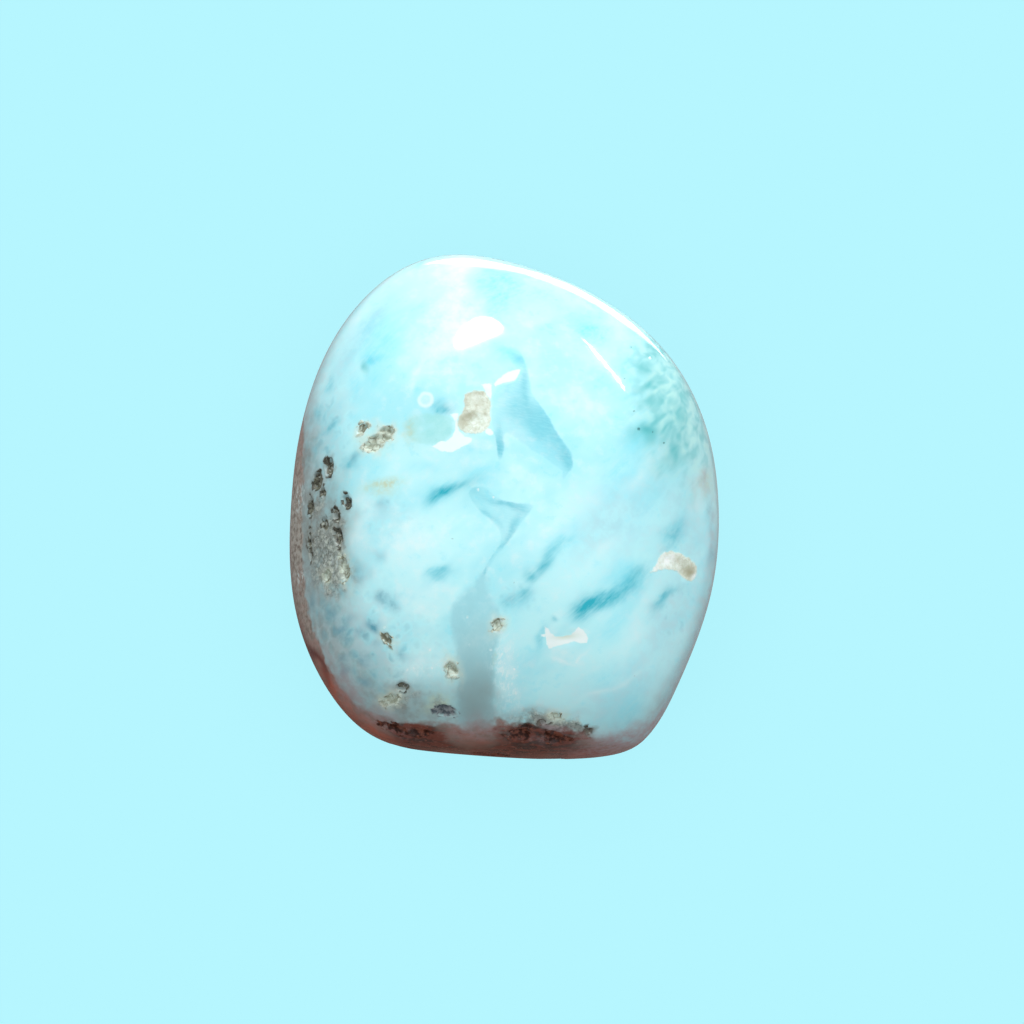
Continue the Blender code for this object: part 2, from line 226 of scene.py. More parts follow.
# Soft marks in the stone, by the colour that they bring: X and Y on the chart, length, width, the
# length's turn from X, and strength from 0 to 1.
SOFT_MARKS = {
    "mist": (
        ("right", 12.0, -1.5, 14.0, 9.0, 40, 0.55),
        ("right, low", 17.0, -13.0, 12.0, 6.0, 72, 0.4),
        ("lower right", 12.0, -20.5, 13.0, 6.0, 22, 0.4),
        ("right edge", 20.0, -1.0, 18.0, 5.0, 90, 0.5),
        ("low middle", 3.0, -17.0, 9.0, 7.0, 0, 0.12),
        ("left shoulder", -18.5, 9.0, 12.0, 4.0, 66, 0.25),
        ("upper left edge", -14.5, 18.5, 14.0, 2.4, 52, 0.6),
        ("upper right edge", 16.5, 17.5, 10.0, 2.0, -50, 0.35),
    ),
    # Greyer stone, with painted shade, on the left wall, the lower left and above the foot.
    "grey_tone_and_shade": (
        ("left wall", -20.2, -3.5, 20.0, 7.5, 92, 0.98),
        ("left wall, inner", -18.0, -5.0, 11.0, 4.2, 96, 0.9),
        ("left rim, upper", -21.6, 3.0, 12.0, 2.6, 82, 0.85),
        ("lower left", -16.8, -16.5, 15.0, 6.5, -54, 0.65),
        ("above the foot, left", -10.0, -22.0, 13.0, 5.4, -14, 0.8),
        ("above the foot, right", 2.0, -22.9, 11.0, 1.4, 2, 0.4),
        ("vein's foot", -3.0, -21.0, 7.0, 6.0, 90, 0.6),
        ("right edge", 21.4, -12.0, 21.0, 2.0, 78, 0.1),
        ("low right corner", 16.5, -22.0, 9.0, 2.4, 48, 0.3),
    ),
    "mottling": (
        ("lower left", -15.5, -14.8, 14.0, 9.5, -50, 0.95),
        ("left edge", -19.0, 6.0, 12.0, 4.5, 75, 0.7),
        ("left of the streak", -13.0, -1.5, 6.0, 4.0, 0, 0.5),
        ("left of the vein", -9.0, -15.0, 7.0, 8.0, 0, 0.15),
        ("upper right edge", 19.5, 9.0, 16.0, 4.0, -66, 0.4),
        ("right of the vein", 1.0, -10.5, 5.0, 3.0, 0, 0.5),
        ("under the cream stone", 18.5, -12.0, 5.0, 7.0, 0, 0.35),
        ("middle left", -9.0, -4.0, 12.0, 8.0, 0, 0.06),
    ),
    "milk": (
        ("column at the head", -5.2, 23.1, 9.0, 3.4, 90, 0.8),
        ("fan under the column", -6.3, 16.5, 9.0, 5.5, 80, 0.6),
        ("fan's left ray", -9.0, 14.0, 6.0, 1.2, 62, 0.45),
        ("fan's right ray", -5.6, 13.0, 6.0, 1.0, 78, 0.35),
        # Partly milky stone, partly a painted glow round the key light's reflection.
        ("round the key light", -3.6, 18.3, 9.0, 5.0, 15, 0.45),
        ("left of the fan", -9.5, 16.7, 6.0, 4.0, 60, 0.35),
        ("upper left, rim", -15.6, 19.4, 4.5, 1.0, 60, 0.4),
        ("upper right", 6.0, 17.6, 11.0, 4.4, -20, 0.15),
        ("beside the cyan spot", 12.2, 17.6, 4.0, 3.2, -50, 0.35),
        ("right of the window", 8.6, 9.5, 8.0, 4.5, -60, 0.3),
        ("inside the window", 2.0, 6.6, 4.0, 2.0, -50, 0.3),
        ("between window and check mark", 2.5, 2.4, 7.0, 2.2, -15, 0.35),
        ("across the middle", 6.0, -2.2, 13.0, 3.2, 38, 0.35),
        ("left of the check mark", -10.5, -4.0, 8.0, 6.0, 20, 0.5),
        ("left of the vein", -8.5, -9.8, 7.0, 4.5, 50, 0.4),
        ("lower right, long line", 11.1, -19.9, 9.0, 0.6, 26, 0.4),
        ("lower right, upper line", 9.4, -18.2, 5.0, 0.5, 29, 0.25),
        ("lower right, pale band", 13.7, -14.9, 9.0, 1.8, 68, 0.3),
        ("right, pale band", 10.5, -5.8, 9.0, 1.6, 40, 0.35),
        ("right, upper pale band", 15.2, 3.6, 8.0, 1.2, 55, 0.45),
        ("left of the vein, foot", -8.5, -17.5, 5.0, 3.0, 30, 0.35),
        ("crystals right of the vein", 0.5, -18.5, 6.5, 2.2, 95, 0.45),
        ("under the white base", -2.8, 6.3, 4.6, 1.2, 4, 0.55),
        ("left wall, inner edge", -15.2, -2.5, 9.0, 1.6, 92, 0.35),
        ("under the chip", 6.9, -16.2, 3.6, 1.4, 5, 0.35),
        ("facet under the chip, edge", 8.0, -16.5, 2.8, 0.45, 50, 0.7),
        ("facet under the chip, foot", 6.3, -17.1, 2.4, 0.4, -12, 0.5),
        ("right edge, pale", 20.6, 0.6, 7.0, 2.4, 85, 0.35),
    ),
    "cyan": (
        ("upper left", -13.3, 17.4, 7.5, 6.0, 50, 0.45),
        ("upper left, sky patch", -13.8, 15.2, 2.4, 1.8, 30, 0.75),
        ("upper left, under the patch", -13.9, 12.8, 3.4, 2.2, 80, 0.4),
        ("head", -0.9, 23.6, 4.6, 4.0, -25, 0.65),
        ("head, low", -0.6, 21.0, 3.8, 3.6, 0, 0.6),
        ("under the key light", 0.6, 15.6, 3.6, 1.8, -30, 0.6),
        ("under the fan", -9.2, 11.9, 1.6, 0.9, 20, 0.5),
        ("upper right spot", 9.4, 18.0, 4.2, 2.8, -10, 0.97),
        ("left shoulder", -16.1, 12.2, 3.0, 1.6, 90, 0.4),
        ("beside the sea green", 12.8, 11.0, 2.6, 1.5, 0, 0.3),
        ("right, upper", 12.6, 3.4, 7.0, 3.0, 48, 0.5),
        ("right of the middle", 15.5, -0.6, 9.0, 3.0, 55, 0.3),
        ("above the main streak", 12.8, -7.7, 4.2, 2.8, 45, 0.5),
        ("round the main streak", 11.0, -10.4, 7.0, 2.6, 33, 0.55),
        ("under the main streak", 11.9, -13.6, 4.0, 2.4, 40, 0.4),
        ("lower right", 10.6, -18.7, 4.5, 2.0, 25, 0.4),
        ("foot, right", 13.5, -22.6, 4.5, 2.6, 60, 0.5),
        ("beside the left streak", -2.6, 2.9, 6.0, 1.4, 17, 0.4),
        ("round the left streak", -6.8, 0.9, 5.4, 2.6, 20, 0.6),
        ("round the lower left streak", -7.2, -8.1, 4.2, 1.8, 28, 0.55),
        ("left of the base", -8.6, 3.6, 4.0, 1.6, 12, 0.35),
        ("head, right", 4.4, 21.8, 10.0, 3.4, -28, 0.4),
        ("left of the chip", 4.1, -14.6, 2.6, 1.2, 80, 0.45),
        ("right of the vein", 1.5, -12.0, 5.0, 3.0, 60, 0.3),
        ("beside the vein, tail", 6.0, -4.6, 5.5, 1.6, 48, 0.45),
        ("sea green's left", 14.3, 6.4, 2.4, 2.2, 0, 0.7),
        ("left edge", -17.5, 5.5, 6.0, 4.0, 60, 0.25),
        ("left, above the wall", -15.6, 9.0, 3.0, 2.0, 20, 0.35),
    ),
    "turquoise": (
        ("main streak, core", 9.3, -11.2, 4.2, 2.7, 30, 0.97),
        ("main streak, middle", 11.6, -10.0, 5.0, 2.2, 34, 0.75),
        ("main streak, tail", 14.2, -8.4, 4.0, 1.8, 42, 0.45),
        ("main streak, upper edge", 10.8, -9.4, 3.4, 0.7, 36, 0.4),
        ("right streak", 17.1, -10.5, 4.6, 1.4, 40, 0.65),
        ("left streak, core", -6.1, 0.9, 3.6, 1.3, 20, 0.9),
        ("left streak, end", -7.5, 0.2, 2.2, 1.3, 30, 0.65),
        ("left streak, tail", -4.2, 1.7, 3.6, 1.0, 18, 0.35),
        ("lower left streak", -6.4, -7.8, 2.4, 1.0, 38, 0.55),
        ("lower left streak, blunt end", -7.6, -8.3, 2.0, 1.2, 0, 0.35),
        ("beside the vein, blunt end", 2.7, -8.1, 1.7, 1.9, 0, 0.6),
        ("beside the vein", 4.2, -6.8, 3.0, 1.5, 50, 0.6),
        ("beside the vein, tail", 5.6, -5.2, 4.2, 1.1, 47, 0.35),
        ("right of the vein", 2.0, -10.4, 2.2, 1.6, 20, 0.6),
        ("right of the vein, left end", 0.3, -10.7, 2.2, 1.4, 0, 0.4),
        ("under the ring", -6.8, 10.0, 2.6, 1.5, 25, 0.65),
        ("tick under the ring", -7.5, 9.7, 0.9, 0.35, 60, 0.6),
        ("above the chip", 5.1, -12.5, 0.9, 0.8, 0, 0.45),
        ("left of the chip", 4.1, -14.4, 2.4, 0.9, 80, 0.35),
        ("right, soft", 17.9, -3.8, 4.0, 2.4, 50, 0.5),
        ("left shoulder", -18.6, 7.9, 2.4, 0.9, 45, 0.45),
        ("left, dot", -17.0, 3.8, 1.0, 0.8, 0, 0.55),
        ("left, soft", -16.0, 4.2, 2.2, 1.2, 20, 0.4),
        ("left edge", -20.4, 5.2, 1.4, 0.8, 90, 0.35),
        ("left shoulder, upper", -18.4, 12.7, 2.2, 1.2, 70, 0.35),
        ("left edge, upper", -19.6, 9.3, 2.0, 1.0, 80, 0.3),
        ("upper left, sky patch", -13.9, 15.1, 1.6, 1.0, 30, 0.25),
    ),
    "spots": (
        ("lower left, darkest", -13.9, -13.3, 2.2, 1.3, -35, 0.9),
        ("lower left, pair", -12.7, -10.4, 2.0, 1.5, 0, 0.6),
        ("lower left, pair, right", -11.8, -11.3, 1.8, 1.2, -40, 0.6),
        ("lower left, right", -10.7, -16.7, 1.7, 1.2, -20, 0.55),
        ("lower left, spot 1", -17.3, -13.8, 1.9, 1.4, 20, 0.65),
        ("lower left, spot 2", -16.6, -14.9, 1.4, 1.1, 0, 0.45),
        ("lower left, spot 3", -15.4, -14.1, 1.4, 1.2, 0, 0.5),
        ("lower left, spot 4", -20.5, -10.9, 2.2, 1.1, 90, 0.4),
        ("lower left, spot 5", -18.6, -12.1, 1.5, 2.0, 0, 0.5),
        ("lower left, spot 6", -16.9, -12.5, 1.6, 1.1, 0, 0.45),
        ("lower left, spot 7", -15.9, -16.4, 1.7, 1.3, 0, 0.5),
        ("lower left, spot 8", -14.9, -17.2, 1.4, 1.1, 0, 0.5),
        ("lower left, spot 9", -17.1, -18.2, 1.7, 1.2, 0, 0.5),
        ("lower left, spot 10", -15.0, -19.4, 1.5, 1.1, 0, 0.5),
        ("lower left, spot 11", -15.7, -7.8, 2.4, 1.7, 10, 0.4),
        ("lower left, spot 12", -17.3, -17.0, 1.4, 1.0, 30, 0.4),
        ("lower left, spot 13", -13.6, -15.2, 1.5, 1.2, 0, 0.35),
        ("faint, left of the streak", -12.9, -0.6, 2.0, 1.1, 0, 0.4),
        ("faint, under the wall", -13.4, -5.8, 1.8, 1.2, 0, 0.3),
        ("left of the wall's top", -16.0, 4.2, 2.4, 1.4, 20, 0.4),
        ("right rim, upper", 22.1, -1.1, 2.6, 1.2, 90, 0.45),
        ("right rim, lower", 22.2, -5.8, 1.8, 1.0, 90, 0.4),
    ),
    "sea": (
        ("upper right zone", 18.4, 10.0, 18.0, 9.0, -66, 0.98),
        ("upper right zone, rim", 15.8, 16.2, 4.5, 2.6, -48, 0.7),
        ("under the zone", 18.0, 4.6, 5.0, 2.6, 50, 0.5),
    ),
    "teal": (
        ("top", 14.9, 14.3, 1.6, 1.1, 0, 0.5),
        ("long diagonal", 15.0, 12.4, 3.4, 0.9, 38, 0.7),
        ("middle", 15.2, 10.8, 2.4, 0.8, 30, 0.65),
        ("thin diagonal", 17.6, 7.7, 2.0, 0.6, 50, 0.7),
        ("short diagonal", 16.5, 8.9, 1.6, 0.7, 45, 0.45),
        ("outer", 19.0, 9.2, 2.0, 1.4, 55, 0.5),
        ("lower", 17.8, 5.4, 2.2, 1.3, 40, 0.5),
        ("deep patch", 15.3, 7.4, 3.4, 2.2, 10, 0.9),
        ("deep patch, foot", 15.4, 6.2, 1.6, 1.4, 70, 0.45),
        ("rim", 16.6, 16.4, 3.0, 0.9, -50, 0.45),
        ("upper left, tick", -14.8, 14.1, 1.5, 0.7, 80, 0.6),
        ("head, tick", -8.8, 25.3, 1.4, 0.5, 20, 0.3),
    ),
    "pane": (
        ("apex", 1.4, 15.4, 2.4, 1.5, -40, 0.5),
        ("upper arm", 2.3, 12.4, 5.4, 1.2, -78, 0.5),
        ("beside the hollow", 0.8, 9.6, 4.0, 4.4, 0, 0.5),
        ("right arm", 3.8, 8.4, 10.0, 3.6, -58, 0.6),
        ("right arm, edge", 5.4, 7.4, 8.0, 1.3, -58, 0.4),
        ("right arm, end", 6.7, 4.4, 3.2, 1.6, -70, 0.6),
        ("left strip", -0.6, 5.9, 3.8, 1.0, -85, 0.85),
        ("lavender corner", 0.0, 12.0, 2.4, 0.9, 35, 0.25),
        ("check mark", 0.1, -1.8, 4.0, 2.6, -30, 0.22),
        ("check mark, corner", -3.0, 1.1, 1.8, 1.3, 0, 0.35),
        ("check mark, top stroke", 0.4, -0.4, 6.0, 1.1, -17, 0.85),
        ("check mark, left edge", -2.1, -1.4, 5.0, 0.7, -45, 0.5),
        ("check mark, right side", 0.9, -3.2, 5.4, 1.2, 56, 0.6),
        ("crack", -1.1, -5.9, 3.0, 0.5, 55, 0.85),
        ("crack, foot", -2.0, -7.6, 1.8, 0.9, 60, 0.6),
    ),
    "vein_grey": (
        ("lower vein", -3.0, -21.7, 11.0, 6.0, 90, 0.95),
        ("middle", -3.2, -14.0, 5.0, 5.0, 90, 0.15),
    ),
    "umber": (
        ("left", -9.6, -24.6, 9.0, 3.2, -10, 0.95),
        ("right", 3.9, -25.0, 12.5, 4.4, -2, 0.97),
        ("edge", 2.0, -26.8, 14.0, 1.6, 0, 0.7),
        ("left, low", -8.0, -26.2, 8.0, 1.8, -8, 0.7),
    ),
    # Lilac in the foot, and along the rims a painted pinkish reflection of warm surroundings.
    "lilac_and_rim_reflection": (
        ("patch in the foot", 5.2, -24.4, 3.4, 1.0, -12, 0.8),
        ("patch in the foot, low", 3.6, -25.6, 2.2, 0.9, 0, 0.3),
        ("lower right rim", 12.6, -25.8, 10.0, 3.4, 14, 0.9),
        ("right corner", 16.6, -23.8, 5.0, 1.8, 52, 0.6),
        ("right rim", 20.6, -17.0, 10.0, 1.2, 68, 0.45),
        ("left rim", -17.0, -19.4, 9.0, 2.0, -56, 0.5),
        ("gap of the foot", -3.0, -24.3, 5.0, 2.4, 0, 0.7),
        ("above the foot", -12.5, -23.6, 6.0, 1.8, -30, 0.4),
        ("right edge smear", 21.5, 2.0, 3.0, 1.8, 75, 0.45),
        ("right edge", 22.3, -3.4, 7.0, 0.9, 88, 0.3),
    ),
    # Orange along the lower rims and the foot's edge: partly rust, partly a painted warm reflection.
    "orange_rust_and_reflection": (
        ("lower left rim", -18.2, -20.2, 9.0, 1.8, -57, 0.95),
        ("foot's left corner", -13.8, -24.9, 6.0, 1.8, -38, 0.8),
        ("gap of the foot", -3.2, -25.8, 3.6, 1.8, 0, 0.25),
        ("foot's edge, left", -8.0, -26.9, 8.0, 0.9, -10, 0.5),
        ("foot's edge, right", 8.0, -27.2, 8.0, 1.0, 3, 0.5),
        ("lower right rim", 16.4, -24.6, 5.0, 0.9, 48, 0.35),
    ),
    # A dark red line on the lower left rim: partly rust, partly a painted warm reflection.
    "red_rim_line_and_reflection": (
        ("left rim", -20.7, -15.9, 9.0, 0.9, -62, 0.95),
    ),
    "tan": (
        ("round the tan hollows", -13.7, 6.5, 4.8, 3.0, 20, 0.4),
        ("faint patch", -12.9, 1.8, 4.0, 1.5, 10, 0.9),
        ("faint patch, lower", -13.2, 0.9, 3.2, 1.6, 0, 0.5),
        ("right edge smear", 21.6, 1.9, 3.0, 2.0, 75, 0.4),
        ("round the small pit", -0.6, -13.4, 1.8, 1.5, 60, 0.6),
        ("cream streak", -0.7, -16.9, 1.3, 0.5, 70, 0.6),
        ("glassy pit's rim", -7.0, -21.6, 3.0, 1.3, 18, 0.7),
        ("left of the vein", -5.5, -18.2, 2.2, 1.4, 100, 0.5),
        ("lower left, low", -12.2, -21.2, 2.6, 1.5, 35, 0.5),
        ("foot, light rim", 5.6, -23.3, 2.6, 1.2, 10, 0.5),
        ("foot, right", 7.4, -24.4, 2.0, 0.8, -40, 0.45),
        ("patch, left", -9.8, 7.2, 1.6, 2.6, 0, 0.6),
    ),
    "drab": (
        ("left rim", -22.6, -3.0, 20.0, 4.0, 90, 0.97),
        ("left rim, low", -21.0, -12.5, 6.0, 1.6, -68, 0.5),
    ),
    "chalk": (
        ("cream stone, left", 17.2, -6.3, 2.6, 1.6, 20, 0.9),
        ("cream stone, foot", 20.3, -8.3, 1.4, 0.6, 50, 0.8),
        ("cream stone, tail", 15.9, -7.5, 1.6, 0.5, 20, 0.6),
    ),
    "matrix": (
        ("ground", -18.4, -5.8, 9.0, 4.6, 96, 0.55),
        ("speckled ground", -18.6, -6.6, 6.2, 3.4, 97, 0.95),
        ("speckled ground, low", -17.6, -8.0, 3.0, 2.4, 90, 0.7),
        ("middle", -18.3, -3.6, 3.4, 2.2, 90, 0.75),
        ("upper cluster", -19.8, 0.9, 4.6, 2.0, 85, 0.6),
        ("triangle", -18.4, 3.2, 2.4, 1.1, 78, 0.5),
        ("outer", -20.6, -4.5, 8.0, 1.4, 92, 0.55),
        ("foot, left", -10.9, -21.2, 4.6, 2.0, 35, 0.5),
        ("glassy pit's rim", -6.9, -21.4, 2.8, 1.0, 15, 0.55),
        ("foot's crest", 4.6, -24.1, 9.4, 2.6, -9, 0.92),
        ("foot's crest, right", 8.4, -24.7, 3.0, 1.2, -40, 0.7),
    ),
    "glints": (
        ("left rim, upper", -21.9, 0.2, 2.8, 1.0, 80, 0.9),
        ("left rim, lower", -21.7, -8.3, 2.4, 0.9, 95, 0.8),
        ("left wall", -18.4, -6.6, 5.0, 3.0, 90, 0.35),
        ("right of the vein", 0.3, -18.2, 8.0, 2.8, 95, 0.9),
        ("left of the vein", -8.6, -18.2, 6.0, 2.4, 10, 0.45),
        ("vein's right edge", -1.0, -13.0, 2.4, 1.2, 80, 0.4),
    ),
}

# Marks with a clear edge, by their colour, as outlines on the chart.
OUTLINES = {
    "pane_edge": (
        ((0.1, 16.6), (1.6, 16.2), (2.1, 15.3), (2.5, 14.2), (2.8, 12.7), (3.0, 11.5), (3.6, 10.6), (4.4, 9.6),
         (4.9, 8.7), (5.5, 7.6), (6.0, 6.8), (6.6, 6.0), (7.2, 5.1), (7.4, 4.3), (7.3, 3.5), (6.8, 2.9),
         (6.3, 2.2), (6.2, 2.7), (6.3, 3.2), (5.3, 4.0), (3.8, 5.0), (2.2, 6.0), (0.7, 7.2), (0.0, 7.4),
         (-0.1, 6.5), (0.1, 5.6), (-0.2, 4.5), (-0.6, 4.3), (-0.7, 5.8), (-0.9, 6.6), (-1.2, 7.9),
         (-1.4, 8.9), (-1.2, 10.2), (-1.3, 11.0), (-0.7, 12.4), (0.9, 12.6), (1.3, 12.9), (1.7, 13.8),
         (0.6, 15.1)),
        ((-3.8, 0.7), (-3.6, 1.3), (-3.0, 1.6), (-2.1, 1.5), (-1.4, 1.0), (-0.7, 0.3), (0.2, -0.1), (1.4, -0.2),
         (3.3, -0.3), (2.8, -1.1), (2.1, -1.9), (1.5, -2.9), (0.7, -4.0), (0.0, -4.9), (-0.6, -5.6),
         (-1.2, -6.3), (-1.6, -7.1), (-1.9, -7.7), (-2.2, -8.2), (-2.6, -8.0), (-2.1, -7.3), (-1.6, -6.4),
         (-1.1, -5.7), (-0.6, -4.9), (-0.3, -4.2), (-0.3, -3.4), (-0.9, -2.5), (-1.7, -1.8), (-2.6, -1.1),
         (-3.2, -0.3)),
    ),
    "vein": (
        ((-2.1, -7.7), (-2.8, -8.2), (-3.4, -9.0), (-4.1, -9.7), (-4.9, -10.6), (-5.5, -11.3), (-5.8, -12.1),
         (-5.7, -13.0), (-5.3, -14.3), (-5.3, -15.7), (-5.0, -17.2), (-5.0, -19.3), (-4.9, -21.8), (-5.0, -24.3),
         (-1.0, -24.3), (-1.1, -21.8), (-1.1, -19.3), (-1.0, -17.0), (-0.6, -14.5), (-0.4, -12.7), (-0.7, -11.7),
         (-1.3, -10.8), (-1.6, -9.9), (-1.7, -9.0), (-1.8, -8.1)),
    ),
    "patch": (
        ((-10.4, 8.4), (-9.7, 9.2), (-8.6, 9.4), (-7.3, 9.3), (-5.9, 9.1), (-5.3, 8.6), (-5.5, 7.6), (-6.0, 6.7),
         (-6.8, 6.2), (-8.1, 6.0), (-9.5, 6.2), (-10.4, 7.1)),
    ),
    "white": (
        ((-2.4, 12.5), (-1.3, 12.6), (-1.3, 11.9), (-1.4, 10.8), (-1.8, 11.3), (-2.1, 11.9)),
        ((-1.9, 7.8), (-1.4, 7.7), (-1.1, 7.2), (-1.5, 6.9), (-2.0, 7.3)),
        ((-7.7, 5.8), (-6.8, 6.4), (-6.2, 6.4), (-5.6, 6.8), (-5.2, 7.7), (-5.2, 8.6), (-5.8, 9.3), (-4.8, 9.4),
         (-5.0, 8.6), (-4.8, 7.5), (-4.2, 6.9), (-3.4, 6.7), (-3.6, 6.2), (-4.5, 5.8), (-5.6, 5.2), (-6.6, 5.3)),
        ((-1.1, 12.6), (-0.5, 13.1), (0.2, 13.7), (1.0, 14.0), (1.8, 14.1), (1.5, 13.4), (1.2, 12.9),
         (0.3, 12.7), (-0.4, 12.5), (-1.0, 12.2)),
        ((4.37, -13.4), (4.75, -13.65), (5.0, -14.15), (5.5, -14.45), (6.3, -14.5), (7.1, -14.35), (7.5, -13.95),
         (8.0, -13.5), (8.45, -13.75), (8.8, -14.25), (9.0, -14.7), (8.85, -15.15), (8.1, -15.2), (7.5, -15.0),
         (6.55, -15.3), (5.4, -15.6), (4.8, -15.8), (4.6, -15.4), (4.4, -14.35)),
        ((3.5, -14.3), (4.4, -14.2), (4.5, -14.6)),
    ),
    "ring": (
        ((-9.2, 11.2), (-8.6, 11.8), (-7.6, 11.5), (-7.5, 10.8), (-7.8, 10.0), (-8.9, 10.0), (-9.3, 10.6)),
    ),
    "cream": (
        ((-4.2, 11.5), (-3.2, 11.8), (-2.1, 11.8), (-1.6, 11.1), (-1.4, 10.4), (-1.5, 9.6), (-1.4, 8.8),
         (-1.6, 7.9), (-2.2, 7.4), (-3.0, 7.2), (-4.0, 7.2), (-4.7, 7.6), (-5.0, 8.2), (-4.9, 9.0),
         (-4.4, 9.5), (-4.2, 10.3), (-4.3, 11.0)),
        ((16.5, -6.3), (16.9, -5.6), (17.9, -5.3), (19.0, -5.7), (20.2, -6.3), (20.7, -7.3), (20.5, -8.2),
         (19.8, -8.7), (19.0, -8.0), (18.5, -7.5), (17.7, -7.3), (16.8, -7.3), (15.4, -7.8), (16.1, -7.2)),
    ),
}

# Darker, olive places in the cream hollows, in the form of the soft marks.
OLIVE_PLACES = (
    ("waist of the middle hollow", -3.8, 9.1, 2.0, 1.0, 20, 0.7),
    ("middle hollow, lower lobe, left", -4.5, 8.3, 1.4, 1.8, 0, 0.5),
    ("middle hollow, upper edge", -3.0, 11.6, 2.6, 0.6, 5, 0.45),
    ("middle hollow, left edge", -4.1, 10.6, 2.0, 0.6, 90, 0.45),
    ("middle hollow, dot", -2.0, 9.3, 0.5, 0.5, 0, 0.6),
    ("middle hollow, upper lobe", -2.6, 10.4, 2.4, 1.8, 0, 0.4),
    ("cream stone, right end", 19.9, -7.6, 1.9, 1.5, -60, 0.9),
    ("cream stone, middle", 18.4, -6.2, 2.0, 0.5, -20, 0.3),
    ("chip's middle", 6.6, -14.5, 2.8, 0.7, 5, 0.95),
)

# Tiny dark specks, and sparkles that are painted glints of light as small white points: X and Y on the chart, and
# size.
SPECKS = (
    (12.9, 13.1, 0.18),
    (13.6, 16.5, 0.2),
    (13.9, 9.6, 0.22),
    (14.4, 7.7, 0.34),
    (15.9, 7.4, 0.22),
    (17.1, 6.2, 0.24),
    (-5.5, -4.0, 0.22),
    (1.1, -8.7, 0.2),
    (13.9, -18.7, 0.2),
)
SPARKLES = (
    (15.6, 15.3, 0.3),
    (-2.8, 1.2, 0.3),
    (-1.1, 0.4, 0.26),
    (-1.4, -15.9, 0.34),
    (-0.2, -16.4, 0.3),
    (1.1, -18.0, 0.26),
    (1.3, -20.5, 0.26),
    (-12.8, -13.5, 0.26),
    (-10.3, -18.1, 0.3),
    (-9.6, -17.9, 0.3),
    (-7.7, -17.9, 0.24),
    (-7.9, -15.9, 0.3),
    (-3.9, -12.4, 0.3),
    (-3.7, -15.4, 0.26),
)
FAR_OUTSIDE = -3.0  # mm, the least that a signed distance is stored as
SOFT_WARP = 0.3  # mm by which soft marks wander
BACK_FADE = (-0.12, 0.1)  # how squarely the skin must face the camera before chart marks show

# Colours of the stone, as linear red, green and blue.
PALE = (0.54, 0.94, 0.99)
PALE_DEEP = (0.42, 0.87, 0.95)
MILK = (0.76, 0.96, 0.98)
SKY = (0.26, 0.82, 0.95)
MIST = (0.37, 0.68, 0.77)
GREY_TONE_AND_SHADE = (0.25, 0.30, 0.29)
RIM_SHADE = (0.42, 0.58, 0.62)
NET_PALE = (0.52, 0.68, 0.72)
SPOT_BLUE = (0.13, 0.38, 0.48)
TURQUOISE = (0.035, 0.46, 0.58)
SEA_LIGHT = (0.29, 0.63, 0.63)
SEA_GREEN = (0.09, 0.47, 0.50)
SEA_PALE = (0.52, 0.84, 0.80)
PANE = (0.08, 0.50, 0.63)
VEIN_BLUE = (0.36, 0.70, 0.77)
VEIN_GREY = (0.26, 0.38, 0.39)
PATCH_GREEN = (0.38, 0.78, 0.77)
CHIP_WHITE = (0.90, 1.0, 0.99)
CREAM = (0.85, 0.97, 0.89)
CREAM_SHADE = (0.70, 0.79, 0.67)
TAN = (0.54, 0.68, 0.52)
OLIVE_TAN = (0.38, 0.37, 0.24)
TAN_FLOOR = (0.40, 0.46, 0.36)
TAN_LIGHT = (0.64, 0.76, 0.66)
OLIVE = (0.15, 0.15, 0.09)
SPECK_TEAL = (0.06, 0.20, 0.21)
DARK_MATRIX = (0.035, 0.035, 0.024)
BROWN_GRAIN = (0.17, 0.18, 0.13)
DARK_GRAIN = (0.11, 0.13, 0.105)
GREY_GRAIN = (0.27, 0.31, 0.285)
LIGHT_GRAIN = (0.48, 0.55, 0.49)
HALO_GREY = (0.28, 0.34, 0.32)
GLASS_BLUE = (0.10, 0.13, 0.15)
GLASS_LIGHT = (0.30, 0.34, 0.36)
UMBER_GREY = (0.24, 0.18, 0.15)
MAUVE = (0.35, 0.21, 0.18)
RUST = (0.17, 0.035, 0.016)
BRIGHT_RUST_AND_REFLECTION = (0.50, 0.12, 0.06)
LILAC_AND_RIM_REFLECTION = (0.40, 0.32, 0.34)
RUST_BROWN = (0.23, 0.075, 0.045)
DRAB = (0.45, 0.45, 0.40)
DRAB_DARK = (0.16, 0.14, 0.11)
RUST_DARK = (0.045, 0.011, 0.005)
RED_RIM_LINE_AND_REFLECTION = (0.10, 0.012, 0.008)
FLOOR_BLUE = (0.468, 0.922, 1.0)
FLOOR_SHADE = (0.44, 0.88, 0.96)
BRIGHT_SIDE = (0.15, 0.52, 0.84)  # where the soft light is brightest, as a unit direction

# The bright card lies beside the head: azimuth in degrees, and mm out from the middle and above the floor.
CARD_AZIMUTH = 76
CARD_MIDDLE = 61
CARD_HEIGHT = 2


def ring_bends(azimuths, radii):
    """The gaps between knots, and the second derivatives of the closed cubic curve through them."""
    count = len(azimuths)
    gaps = np.diff(azimuths, append=azimuths[0] + 360.0)
    slopes = (np.roll(radii, -1) - radii) / gaps
    system = np.zeros((count, count))
    for i in range(count):
        system[i, i - 1] += gaps[i - 1]
        system[i, i] += 2 * (gaps[i - 1] + gaps[i])
        system[i, (i + 1) % count] += gaps[i]
    return gaps, np.linalg.solve(system, 6 * (slopes - np.roll(slopes, 1)))


